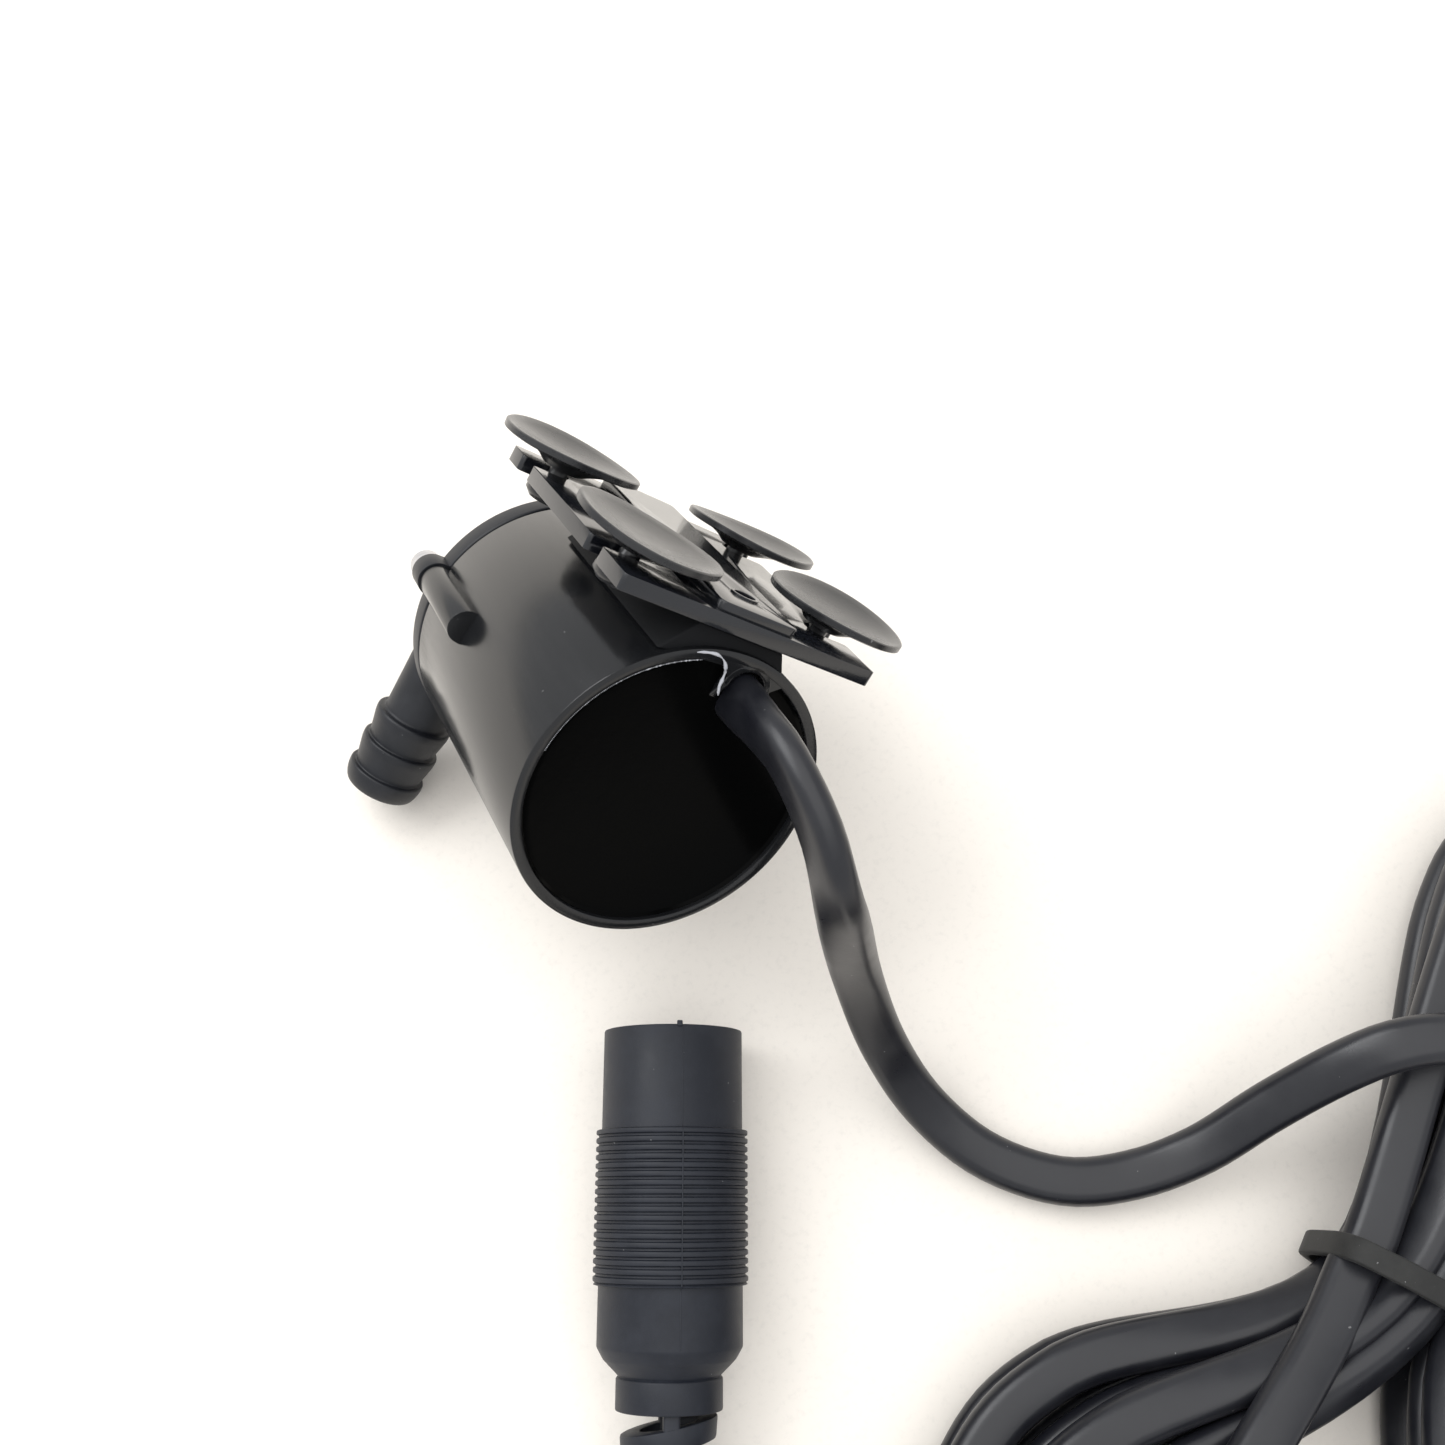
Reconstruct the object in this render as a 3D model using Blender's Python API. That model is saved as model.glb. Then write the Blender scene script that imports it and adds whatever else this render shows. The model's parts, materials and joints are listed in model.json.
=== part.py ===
"""Small submersible pump with a suction plate, a tied hank of cord and an in-line connector.

The pump is modelled in its own frame, axis along Y with the cord end at +Y and the suction
plate on the -Z side, and every pump piece is a child of one empty that lays it on the table.
The cord, its hank and the connector are modelled where they lie. Metres, +Z up.
"""

import math

import bmesh
import bpy
from mathutils import Matrix, Vector

MM = 0.001
GAP = 0.3 * MM  # air kept between neighbouring pieces

# Motor housing
BODY_RADIUS = 15.0 * MM
BODY_LENGTH = 31.7 * MM
BODY_WALL = 1.1 * MM
FRONT_WALL = 2.0 * MM
WELL_RADIUS = 5.2 * MM
WELL_WALL = 0.9 * MM
WELL_DEPTH = 20.7 * MM
WELL_FLOOR = 2.5 * MM
SHAFT_RADIUS = 0.75 * MM
BUSH_WALL = 0.55 * MM
BUSH_LENGTH = 1.1 * MM

# Screw bosses, one on each side of the body
BOSS_RADIUS = 2.0 * MM
BOSS_LENGTH = 10.4 * MM
BOSS_STANDOFF = 0.4 * MM
BOSS_STEP = 0.1 * MM
BOSS_ANGLE = math.radians(185)
SCREW_RADIUS = 0.7 * MM
SCREW_LENGTH = 8.0 * MM
SCREW_HEAD_RADIUS = 1.6 * MM
SCREW_HEAD_HEIGHT = 1.2 * MM
SCREW_RECESS = 0.7 * MM

# Cord collar in the rear rim
COLLAR_X = 1.2 * MM
COLLAR_SETBACK = 3.2 * MM
COLLAR_SLOT_RADIUS = 1.85 * MM
COLLAR_SLOT_SPREAD = 1.9 * MM
COLLAR_WALL = 0.75 * MM
COLLAR_LENGTH = 4.2 * MM

# Potting and driver board behind the motor
POTTING_RECESS = 0.9 * MM
POTTING_DEPTH = 2.4 * MM
BOARD_GAP = 2.8 * MM
BOARD_THICKNESS = 1.2 * MM
CHIP_SIZE = (5.0 * MM, 1.4 * MM, 4.0 * MM)
SENSOR_SIZE = (3.0 * MM, 1.5 * MM, 4.0 * MM)

# Stator
STATOR_LENGTH = 13.0 * MM
STATOR_WALL = 2.4 * MM
STATOR_POLES = 4
POLE_WIDTH = 4.0 * MM
COIL_THICKNESS = 1.5 * MM

# Pump cover: flange, volute, outlet barb and inlet ring
FLANGE_THICKNESS = 2.4 * MM
VOLUTE_RADIUS = 10.0 * MM
VOLUTE_WALL = 1.4 * MM
VOLUTE_LENGTH = 8.6 * MM
INLET_RADIUS = 4.6 * MM
INLET_WALL = 1.0 * MM
INLET_RING_LENGTH = 2.0 * MM
HUB_WALL = 0.9 * MM
SPOKES = 3
SPOKE_WIDTH = 1.2 * MM
OUTLET_X = -6.9 * MM
OUTLET_SETBACK = 4.6 * MM
OUTLET_REACH = 26.5 * MM
STEM_RADIUS = 3.6 * MM
BARB_RADIUS = 4.35 * MM
BARB_PITCH = 3.6 * MM
BARB_TIP_LENGTH = 2.4 * MM
BARB_RINGS = 3
OUTLET_BORE = 2.5 * MM
SEAL_RADIUS = 12.2 * MM
SEAL_SECTION = 0.45 * MM

# Inlet strainer
STRAINER_WALL = 1.0 * MM
STRAINER_LENGTH = 3.0 * MM
STRAINER_SLOTS = 4
STRAINER_SLOT = 1.1 * MM
STRAINER_BAR = 1.1 * MM

# Rotor
MAGNET_CLEARANCE = 0.4 * MM
IMPELLER_CLEARANCE = 1.0 * MM
IMPELLER_DISC = 1.0 * MM
IMPELLER_HUB = 3.2 * MM
IMPELLER_BLADES = 6
BLADE_THICKNESS = 0.9 * MM
BLADE_HEIGHT = 4.6 * MM

# Suction plate and its rail on the body
PLATE_WIDTH = 28.3 * MM
PLATE_LENGTH = 29.8 * MM
PLATE_THICKNESS = 1.5 * MM
PLATE_REAR_Y = 0.6 * MM
PLATE_CORNER = 1.2 * MM
RAIL_X = -1.5 * MM
SADDLE_HEIGHT = 1.1 * MM
SADDLE_REAR_Y = -0.6 * MM
SADDLE_WIDTH = 9.4 * MM
BAND_WIDTH = 8.8 * MM
BAND_HEIGHT = 0.9 * MM
RAIL_STEM_WIDTH = 3.4 * MM
RAIL_HEAD_WIDTH = 6.0 * MM
RAIL_HEAD_HEIGHT = 0.5 * MM
RAIL_LENGTH = 23.0 * MM
PLATE_STOP = 1.4 * MM
BAND_HOLE_RADIUS = 1.0 * MM
BAND_HOLE_Y = -4.0 * MM

# Suction cups
CUP_RADIUS = 7.1 * MM
CUP_HEIGHT = 2.4 * MM
CUP_RIM = 0.5 * MM
CUP_LIP = 0.6 * MM
CUP_DISH = 0.9 * MM
CUP_NECK_RADIUS = 0.95 * MM
CUP_SHOULDER_RADIUS = 2.3 * MM
CUP_HEAD_RADIUS = 2.1 * MM
CUP_HEAD_HEIGHT = 1.2 * MM
CUP_SPACING_X = 21.9 * MM
CUP_SPACING_Y = 18.6 * MM
CUP_CENTRE_Y = -15.6 * MM

# How the pump lies: nose and outlet down, cord end up
HEADING = math.radians(209.8)
TAIL_UP = math.radians(33.9)
ROLL = math.radians(129.6)

# Cord: two-core flat lead; a tube of its width stands for it
CORD_WIDTH = 5.0 * MM
CORD_STEP = 2.2 * CORD_WIDTH
CORD_SIDES = 2  # bevel resolution
EXIT_GAP = 0.8 * MM
EXIT_RUN = 4.0 * MM

# The lead: its arch, measured from the exit, then its points on the table, in millimetres
SUPPLY_ARCH = ((3.7, -6.5, 4.0), (6.3, -12.3, 3.3), (8.1, -17.2, -1.7), (11.2, -20.8, -19.8))
SUPPLY_ROUTE = (
    (29.8, -33.2, 10.3), (34.5, -38.8, 4.5), (40.8, -43.7, 2.6), (48.5, -46.3, 2.6),
    (55.8, -45.8, 2.8), (62.8, -43.3, 4.7), (69.2, -39.1, 9.0), (74.9, -35.7, 14.0),
    (79.8, -33.8, 16.8), (85.4, -33.3, 17.2), (93.3, -33.9, 17.2), (101.2, -35.9, 17.2),
    (109.2, -38.3, 17.2),
)
TAIL_ROUTE = (
    (8.2, -88.0, 6.9), (8.4, -94.0, 5.0), (9.6, -101.0, 3.4), (13.0, -108.4, 2.7),
    (18.8, -114.6, 2.6), (26.0, -118.4, 2.6), (33.0, -120.0, 2.6), (37.0, -120.2, 2.6),
)

# Hank: two lobes of loops and a tied waist
HANK_BASE = 1.4 * MM
HANK_HEIGHT = 12.4 * MM
HANK_WAIST = (83.4 * MM, -58.0 * MM)
HANK_WAIST_RADIUS = 9.4 * MM
HANK_LOWER = (61.6 * MM, -90.1 * MM)
HANK_LOWER_RADIUS = 33.0 * MM
HANK_UPPER = (115.1 * MM, -27.6 * MM)
HANK_UPPER_RADIUS = 28.5 * MM
TIE_WIDTH = 2.4 * MM
TIE_THICKNESS = 1.0 * MM
TIE_REACH = 14.2 * MM
TIE_ANGLE = math.radians(-29)

# Connector, lying on the table with its mouth towards +Y
CONNECTOR_X = 8.1 * MM
CONNECTOR_FRONT_Y = -31.6 * MM
SLEEVE_RADIUS = 7.15 * MM
GRIP_RADIUS = 7.7 * MM
SLEEVE_LENGTH = 9.9 * MM
GRIP_LENGTH = 14.6 * MM
REAR_SLEEVE_LENGTH = 5.6 * MM
TAPER_LENGTH = 2.7 * MM
NECK_RADIUS = 4.9 * MM
RELIEF_COLLAR_RADIUS = 5.2 * MM
RELIEF_COLLAR_LENGTH = 2.9 * MM
RELIEF_LENGTH = 15.4 * MM
RELIEF_ROOT_RADIUS = 4.8 * MM
RELIEF_END_RADIUS = 3.6 * MM
SHELL_WALL = 1.05 * MM
INSERT_LENGTH = 27.0 * MM
INSERT_WALL = 1.2 * MM
SOCKET_DEPTH = 11.5 * MM
PIN_RADIUS = 1.0 * MM
PIN_SETBACK = 6.0 * MM
PIN_EMBED = 6.0 * MM
CONTACT_WALL = 0.4 * MM

# Places that follow from the sizes above, in the pump's own frame
FRONT_Y = -BODY_LENGTH
COVER_Y = FRONT_Y - GAP
FLANGE_Y = COVER_Y - FLANGE_THICKNESS
VOLUTE_Y = FLANGE_Y - VOLUTE_LENGTH
OUTLET_Y = FLANGE_Y - OUTLET_SETBACK
WELL_END_Y = FRONT_Y + WELL_DEPTH
BUSH_OUTER = SHAFT_RADIUS + GAP + BUSH_WALL
BUSH_SEAT = BUSH_OUTER + GAP
BUSH_SEAT_DEPTH = BUSH_LENGTH + GAP
BOSS_DISTANCE = BODY_RADIUS + BOSS_STANDOFF
BOSS_ANGLES = (BOSS_ANGLE, BOSS_ANGLE - math.pi)
INNER_RADIUS = BODY_RADIUS - BODY_WALL
COLLAR_OUTER_Z = COLLAR_SETBACK - BODY_RADIUS
SADDLE_TOP_Z = -BODY_RADIUS - SADDLE_HEIGHT
PLATE_INNER_Z = SADDLE_TOP_Z - GAP
PLATE_OUTER_Z = PLATE_INNER_Z - PLATE_THICKNESS
BAND_Z = PLATE_OUTER_Z - BAND_HEIGHT
HEAD_BACK_Z = PLATE_INNER_Z - 0.35 * MM - 2 * GAP
RAIL_REAR_Y = PLATE_REAR_Y - PLATE_STOP - GAP
SLOT_HALF = CUP_NECK_RADIUS + GAP
SEAL_GROOVE = SEAL_SECTION + GAP
CAVITY_RADIUS = VOLUTE_RADIUS - VOLUTE_WALL
IMPELLER_RADIUS = CAVITY_RADIUS - IMPELLER_CLEARANCE
CONNECTOR_LENGTH = (
    SLEEVE_LENGTH + GRIP_LENGTH + REAR_SLEEVE_LENGTH + TAPER_LENGTH
    + RELIEF_COLLAR_LENGTH + RELIEF_LENGTH
)

AXES = {"X": Vector((1, 0, 0)), "Y": Vector((0, 1, 0)), "Z": Vector((0, 0, 1))}


# ---------------------------------------------------------------- helpers

def clear_scene():
    for old in list(bpy.data.objects):
        bpy.data.objects.remove(old, do_unlink=True)


def finish(name, colour, roughness, metallic=0.0):
    """A Principled material, made once for each name."""
    material = bpy.data.materials.get(name)
    if material is None:
        material = bpy.data.materials.new(name)
        material.use_nodes = True
        shader = material.node_tree.nodes["Principled BSDF"]
        shader.inputs["Base Color"].default_value = (*colour, 1.0)
        shader.inputs["Roughness"].default_value = roughness
        shader.inputs["Metallic"].default_value = metallic
    return material


def place(name, bm, material=None, parent=None, location=(0, 0, 0), smooth=True):
    """Turns a bmesh into a linked object with outward normals."""
    bmesh.ops.recalc_face_normals(bm, faces=bm.faces)
    mesh = bpy.data.meshes.new(name)
    bm.to_mesh(mesh)
    bm.free()
    if smooth:
        mesh.shade_smooth()
        mesh.set_sharp_from_angle(angle=math.radians(32))
    obj = bpy.data.objects.new(name, mesh)
    obj.location = location
    bpy.context.scene.collection.objects.link(obj)
    obj.parent = parent
    if material:
        mesh.materials.append(material)
    return obj


def turned(outline, axis="Y", segments=48):
    """A closed outline of (radius, height) points turned about an axis through the origin."""
    bm = bmesh.new()
    spot = (lambda r, h: (r, h, 0)) if axis == "Y" else (lambda r, h: (r, 0, h))
    points = [bm.verts.new(spot(r, h)) for r, h in outline]
    edges = []
    for k, (start, end) in enumerate(zip(points, points[1:] + points[:1])):
        if outline[k][0] > 0 or outline[(k + 1) % len(outline)][0] > 0:
            edges.append(bm.edges.new((start, end)))
    bmesh.ops.spin(
        bm, geom=points + edges, cent=(0, 0, 0), axis=AXES[axis], steps=segments,
        angle=2 * math.pi, use_merge=True,
    )
    bmesh.ops.remove_doubles(bm, verts=bm.verts, dist=1e-7)
    return bm


def rod(radius, start, end, axis="Y", segments=24):
    return turned([(0, start), (radius, start), (radius, end), (0, end)], axis, segments)


def tube(inner, outer, start, end, axis="Y", segments=32):
    return turned([(inner, start), (outer, start), (outer, end), (inner, end)], axis, segments)


def block(low, high):
    """A box between two corners."""
    bm = bmesh.new()
    low, high = Vector(low), Vector(high)
    bmesh.ops.create_cube(bm, size=1.0)
    bmesh.ops.scale(bm, vec=high - low, verts=bm.verts)
    bmesh.ops.translate(bm, vec=(low + high) / 2, verts=bm.verts)
    return bm


def prism(outline, low, high, axis="Z"):
    """An outline of points in the plane across the axis, extruded from low to high."""
    bm = bmesh.new()
    spots = {"Z": lambda a, b: (a, b, low), "Y": lambda a, b: (a, low, b)}
    face = bm.faces.new([bm.verts.new(spots[axis](a, b)) for a, b in outline])
    grown = bmesh.ops.extrude_face_region(bm, geom=[face])
    moved = [item for item in grown["geom"] if isinstance(item, bmesh.types.BMVert)]
    bmesh.ops.translate(bm, vec=AXES[axis] * (high - low), verts=moved)
    return bm


def shifted(bm, offset):
    bmesh.ops.translate(bm, vec=offset, verts=bm.verts)
    return bm


def rotated(bm, angle, axis="Y"):
    bmesh.ops.rotate(bm, matrix=Matrix.Rotation(angle, 3, axis), verts=bm.verts)
    return bm


def at_bosses(bm):
    """The mesh copied to both boss centres, as one mesh."""
    source = bpy.data.meshes.new("boss_tool")
    bm.to_mesh(source)
    bm.free()
    both = bmesh.new()
    for angle in BOSS_ANGLES:
        first = len(both.verts)
        both.from_mesh(source)
        both.verts.ensure_lookup_table()
        bmesh.ops.translate(
            both, vec=around_axis(angle, BOSS_DISTANCE), verts=both.verts[first:]
        )
    bpy.data.meshes.remove(source)
    return both


def arc(centre, radius, start, end, steps):
    """Points on an arc, both ends included."""
    turn = [start + (end - start) * k / steps for k in range(steps + 1)]
    return [(centre[0] + radius * math.cos(a), centre[1] + radius * math.sin(a)) for a in turn]


def stadium(centre, radius, spread, steps=10):
    """A slot outline: a round end at the centre and the other a spread further along +b."""
    first = arc(centre, radius, math.pi, 2 * math.pi, steps)
    return first + arc((centre[0], centre[1] + spread), radius, 0, math.pi, steps)


def shape_with(obj, tool, operation):
    """Joins or cuts obj by a hidden tool that keeps obj's parent."""
    tool.parent = obj.parent
    tool.hide_render = True
    tool.display_type = "WIRE"
    step = obj.modifiers.new(tool.name, "BOOLEAN")
    step.operation = operation
    step.object = tool
    return obj


def join(obj, bm, label):
    return shape_with(obj, place(f"{obj.name}_{label}", bm), "UNION")


def cut(obj, bm, label):
    return shape_with(obj, place(f"{obj.name}_{label}", bm), "DIFFERENCE")


def around_axis(angle, distance, y=0.0):
    """A point at an angle round the pump's axis."""
    return Vector((distance * math.cos(angle), y, distance * math.sin(angle)))


# ---------------------------------------------------------------- finishes

def black_shell():
    return finish("black_shell", (0.018, 0.019, 0.021), 0.32)


def black_soft():
    return finish("black_soft", (0.024, 0.025, 0.028), 0.5)


def steel():
    return finish("steel", (0.62, 0.62, 0.64), 0.3, 1.0)


# ---------------------------------------------------------------- pump body

def motor_housing(pump):
    """Shell with a rotor well, screw bosses, the cord collar and the plate's rail."""
    well_outer = WELL_RADIUS + WELL_WALL
    groove_inner = SEAL_RADIUS - SEAL_GROOVE
    groove_outer = SEAL_RADIUS + SEAL_GROOVE
    groove_y = FRONT_Y + 2 * SEAL_SECTION + GAP
    wall_y = FRONT_Y + FRONT_WALL
    outline = [
        (INNER_RADIUS, 0), (BODY_RADIUS, 0), (BODY_RADIUS, FRONT_Y),
        (groove_outer, FRONT_Y), (groove_outer, groove_y),
        (groove_inner, groove_y), (groove_inner, FRONT_Y),
        (WELL_RADIUS, FRONT_Y), (WELL_RADIUS, WELL_END_Y),
        (BUSH_SEAT, WELL_END_Y), (BUSH_SEAT, WELL_END_Y + BUSH_SEAT_DEPTH),
        (0, WELL_END_Y + BUSH_SEAT_DEPTH), (0, WELL_END_Y + WELL_FLOOR),
        (well_outer, WELL_END_Y + WELL_FLOOR), (well_outer, wall_y), (INNER_RADIUS, wall_y),
    ]
    housing = place("motor_housing", turned(outline, segments=72), black_shell(), pump)
    join(housing, at_bosses(rod(
        BOSS_RADIUS, FRONT_Y + BOSS_STEP, FRONT_Y + BOSS_LENGTH
    )), "bosses")
    mid_wall = BODY_RADIUS - BODY_WALL / 2
    left, right = RAIL_X - SADDLE_WIDTH / 2, RAIL_X + SADDLE_WIDTH / 2
    saddle = arc((0, 0), mid_wall, -math.acos(left / mid_wall), -math.acos(right / mid_wall), 8)
    saddle += [(right, SADDLE_TOP_Z), (left, SADDLE_TOP_Z)]
    join(housing, prism(saddle, RAIL_REAR_Y - RAIL_LENGTH, SADDLE_REAR_Y, "Y"), "saddle")
    rail_front = RAIL_REAR_Y - RAIL_LENGTH
    for label, width, rear, low, high in (
        ("rail_stem", RAIL_STEM_WIDTH, RAIL_REAR_Y, HEAD_BACK_Z - RAIL_HEAD_HEIGHT / 2,
         SADDLE_TOP_Z + SADDLE_HEIGHT / 2),
        ("rail_head", RAIL_HEAD_WIDTH, RAIL_REAR_Y, HEAD_BACK_Z - RAIL_HEAD_HEIGHT, HEAD_BACK_Z),
    ):
        bar = block((RAIL_X - width / 2, rail_front, low), (RAIL_X + width / 2, rear, high))
        join(housing, bar, label)
    collar = stadium(
        (COLLAR_X, COLLAR_OUTER_Z), COLLAR_SLOT_RADIUS + COLLAR_WALL, COLLAR_SLOT_SPREAD
    )
    join(housing, prism(collar, -COLLAR_LENGTH, 0, "Y"), "collar")
    slot = stadium((COLLAR_X, COLLAR_OUTER_Z), COLLAR_SLOT_RADIUS, COLLAR_SLOT_SPREAD)
    cut(housing, prism(slot, -COLLAR_LENGTH - MM, MM, "Y"), "cord_slot")
    cut(housing, at_bosses(rod(
        SCREW_RADIUS + GAP, FRONT_Y - MM, FRONT_Y + SCREW_LENGTH + GAP, segments=20
    )), "screw_holes")
    return housing


def rear_potting(pump):
    """Epoxy plug, set below the rim and moulded round the collar."""
    resin = finish("resin", (0.004, 0.004, 0.005), 0.12)
    front = -POTTING_RECESS - POTTING_DEPTH
    plug = place(
        "rear_potting", rod(INNER_RADIUS - GAP, front, -POTTING_RECESS, segments=64), resin, pump
    )
    room = stadium(
        (COLLAR_X, COLLAR_OUTER_Z), COLLAR_SLOT_RADIUS + COLLAR_WALL + GAP, COLLAR_SLOT_SPREAD
    )
    return cut(plug, prism(room, front - MM, MM, "Y"), "collar_room")


def driver_board(pump):
    """Round circuit board with its driver chip and the sensor that faces the rotor."""
    rear = -POTTING_RECESS - POTTING_DEPTH - BOARD_GAP
    front = rear - BOARD_THICKNESS
    board = finish("board", (0.03, 0.17, 0.07), 0.45)
    epoxy = finish("chip", (0.02, 0.02, 0.022), 0.5)
    place("driver_board", rod(INNER_RADIUS - 2 * GAP, front, rear, segments=48), board, pump)
    half = [side / 2 for side in CHIP_SIZE]
    place("driver_chip", block(
        (-half[0], rear + GAP, -half[2]), (half[0], rear + GAP + CHIP_SIZE[1], half[2])
    ), epoxy, pump, smooth=False)
    half = [side / 2 for side in SENSOR_SIZE]
    middle = WELL_RADIUS + WELL_WALL + GAP + half[0]
    place("hall_sensor", block(
        (middle - half[0], front - GAP - SENSOR_SIZE[1], -half[2]),
        (middle + half[0], front - GAP, half[2]),
    ), epoxy, pump, smooth=False)


def stator(pump):
    """Laminated core with four poles and a coil round each pole."""
    iron = finish("iron", (0.35, 0.35, 0.37), 0.45, 1.0)
    copper = finish("copper", (0.72, 0.32, 0.14), 0.35, 1.0)
    outer = INNER_RADIUS - 3 * GAP
    ring_inner = outer - STATOR_WALL
    pole_tip = WELL_RADIUS + WELL_WALL + GAP
    middle = FRONT_Y + FRONT_WALL + COIL_THICKNESS + 3 * GAP + STATOR_LENGTH / 2
    half = STATOR_LENGTH / 2
    core = place(
        "stator_core", tube(ring_inner, outer, middle - half, middle + half, segments=48),
        iron, pump,
    )
    wide, tall = POLE_WIDTH / 2 + GAP, half + GAP
    inner = pole_tip + 2 * GAP
    reach = math.sqrt(ring_inner**2 - (wide + COIL_THICKNESS) ** 2) - GAP
    for number in range(STATOR_POLES):
        turn = 2 * math.pi * number / STATOR_POLES
        pole = block(
            (pole_tip, middle - half, -POLE_WIDTH / 2),
            (ring_inner + STATOR_WALL / 2, middle + half, POLE_WIDTH / 2),
        )
        join(core, rotated(pole, turn), f"pole_{number + 1}")
        coil = place(f"coil_{number + 1}", rotated(block(
            (inner, middle - tall - COIL_THICKNESS, -wide - COIL_THICKNESS),
            (reach, middle + tall + COIL_THICKNESS, wide + COIL_THICKNESS),
        ), turn), copper, pump, smooth=False)
        cut(coil, rotated(block(
            (inner - MM, middle - tall, -wide), (reach + MM, middle + tall, wide)
        ), turn), "pole_room")


# ---------------------------------------------------------------- rotor

def rotor(pump):
    """Fixed shaft, its two bushes, and the magnet and impeller that turn on it."""
    ceramic = finish("ceramic", (0.82, 0.82, 0.8), 0.25)
    rubber = finish("bush_rubber", (0.03, 0.03, 0.03), 0.6)
    ferrite = finish("ferrite", (0.07, 0.07, 0.075), 0.5, 0.3)
    rear_end = WELL_END_Y + BUSH_LENGTH
    hub_rear_y = VOLUTE_Y + BUSH_SEAT_DEPTH + HUB_WALL
    front_end = hub_rear_y - BUSH_LENGTH
    place("rotor_shaft", rod(SHAFT_RADIUS, front_end, rear_end, segments=20), ceramic, pump)
    bore = SHAFT_RADIUS + GAP
    place("rear_bush", tube(bore, BUSH_OUTER, WELL_END_Y, rear_end, segments=24), rubber, pump)
    place("front_bush", tube(bore, BUSH_OUTER, front_end, hub_rear_y, segments=24), rubber, pump)
    disc_rear = COVER_Y - GAP
    magnet_front = disc_rear + GAP
    place("rotor_magnet", tube(
        bore, WELL_RADIUS - MAGNET_CLEARANCE, magnet_front, WELL_END_Y - 2 * GAP, segments=40
    ), ferrite, pump)
    disc_front = disc_rear - IMPELLER_DISC
    hub_front = hub_rear_y + 2 * GAP
    wheel = place("impeller", turned([
        (bore, disc_rear), (IMPELLER_RADIUS, disc_rear), (IMPELLER_RADIUS, disc_front),
        (IMPELLER_HUB, disc_front), (IMPELLER_HUB * 0.75, hub_front), (bore, hub_front),
    ], segments=36), finish("impeller_white", (0.75, 0.75, 0.72), 0.4), pump)
    for number in range(IMPELLER_BLADES):
        blade = block(
            (IMPELLER_HUB * 0.6, disc_front - BLADE_HEIGHT, -BLADE_THICKNESS / 2),
            (IMPELLER_RADIUS - GAP, disc_front + IMPELLER_DISC / 2, BLADE_THICKNESS / 2),
        )
        join(wheel, rotated(blade, 2 * math.pi * number / IMPELLER_BLADES), f"blade_{number + 1}")


# ---------------------------------------------------------------- cover

def barb_outline():
    """Outer side of the outlet, from inside the volute to the tip, as (radius, height)."""
    tip_start = OUTLET_REACH - BARB_TIP_LENGTH
    first = tip_start - (BARB_RINGS - 1) * BARB_PITCH
    waist = STEM_RADIUS + 0.2 * MM
    side = [(STEM_RADIUS, 0), (STEM_RADIUS, first)]
    for ring in range(BARB_RINGS):
        shoulder = first + ring * BARB_PITCH
        side += [(BARB_RADIUS, shoulder), (BARB_RADIUS, shoulder + 0.7 * MM)]
        if ring < BARB_RINGS - 1:
            side.append((waist, shoulder + BARB_PITCH))
    nose = [(0.96 * BARB_RADIUS, OUTLET_REACH - 0.7 * MM), (0.9 * BARB_RADIUS, OUTLET_REACH)]
    return [(0, 0)] + side + nose + [(0, OUTLET_REACH)]


def pump_cover(pump):
    """Flange, volute, tangential outlet barb and the inlet ring with its spider."""
    wall_y = VOLUTE_Y + VOLUTE_WALL
    inlet_outer = INLET_RADIUS + INLET_WALL
    ring_y = VOLUTE_Y - INLET_RING_LENGTH
    cover = place("pump_cover", turned([
        (0, COVER_Y), (BODY_RADIUS, COVER_Y), (BODY_RADIUS, FLANGE_Y), (VOLUTE_RADIUS, FLANGE_Y),
        (VOLUTE_RADIUS, VOLUTE_Y), (inlet_outer, VOLUTE_Y), (inlet_outer, ring_y), (0, ring_y),
    ], segments=72), black_shell(), pump)
    join(cover, at_bosses(rod(BOSS_RADIUS, COVER_Y - BOSS_STEP, FLANGE_Y + BOSS_STEP)), "lobes")
    barb = shifted(turned(barb_outline(), "Z", 36), (OUTLET_X, OUTLET_Y, 0))
    join(cover, barb, "barb")
    cut(cover, turned([
        (0, COVER_Y + MM), (CAVITY_RADIUS, COVER_Y + MM), (CAVITY_RADIUS, wall_y),
        (INLET_RADIUS, wall_y), (INLET_RADIUS, ring_y - MM), (0, ring_y - MM),
    ], segments=64), "cavity")
    bore = rod(OUTLET_BORE, MM, OUTLET_REACH + MM, "Z", 28)
    cut(cover, shifted(bore, (OUTLET_X, OUTLET_Y, 0)), "bore")
    for number in range(SPOKES):
        spoke = block(
            (BUSH_SEAT + HUB_WALL / 2, VOLUTE_Y + 0.1 * MM, -SPOKE_WIDTH / 2),
            (inlet_outer - INLET_WALL / 2, wall_y - 0.1 * MM, SPOKE_WIDTH / 2),
        )
        turn = 2 * math.pi * (number + 0.25) / SPOKES
        join(cover, rotated(spoke, turn), f"spoke_{number + 1}")
    hub, hub_rear = BUSH_SEAT + HUB_WALL, VOLUTE_Y + HUB_WALL + BUSH_SEAT_DEPTH
    join(cover, turned([
        (0, VOLUTE_Y), (hub, VOLUTE_Y), (hub, hub_rear), (BUSH_SEAT, hub_rear),
        (BUSH_SEAT, VOLUTE_Y + HUB_WALL), (0, VOLUTE_Y + HUB_WALL),
    ], segments=28), "hub")
    cut(cover, at_bosses(rod(
        SCREW_RADIUS + GAP, FLANGE_Y - MM, COVER_Y + MM, segments=20
    )), "screw_holes")
    return cover


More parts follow.
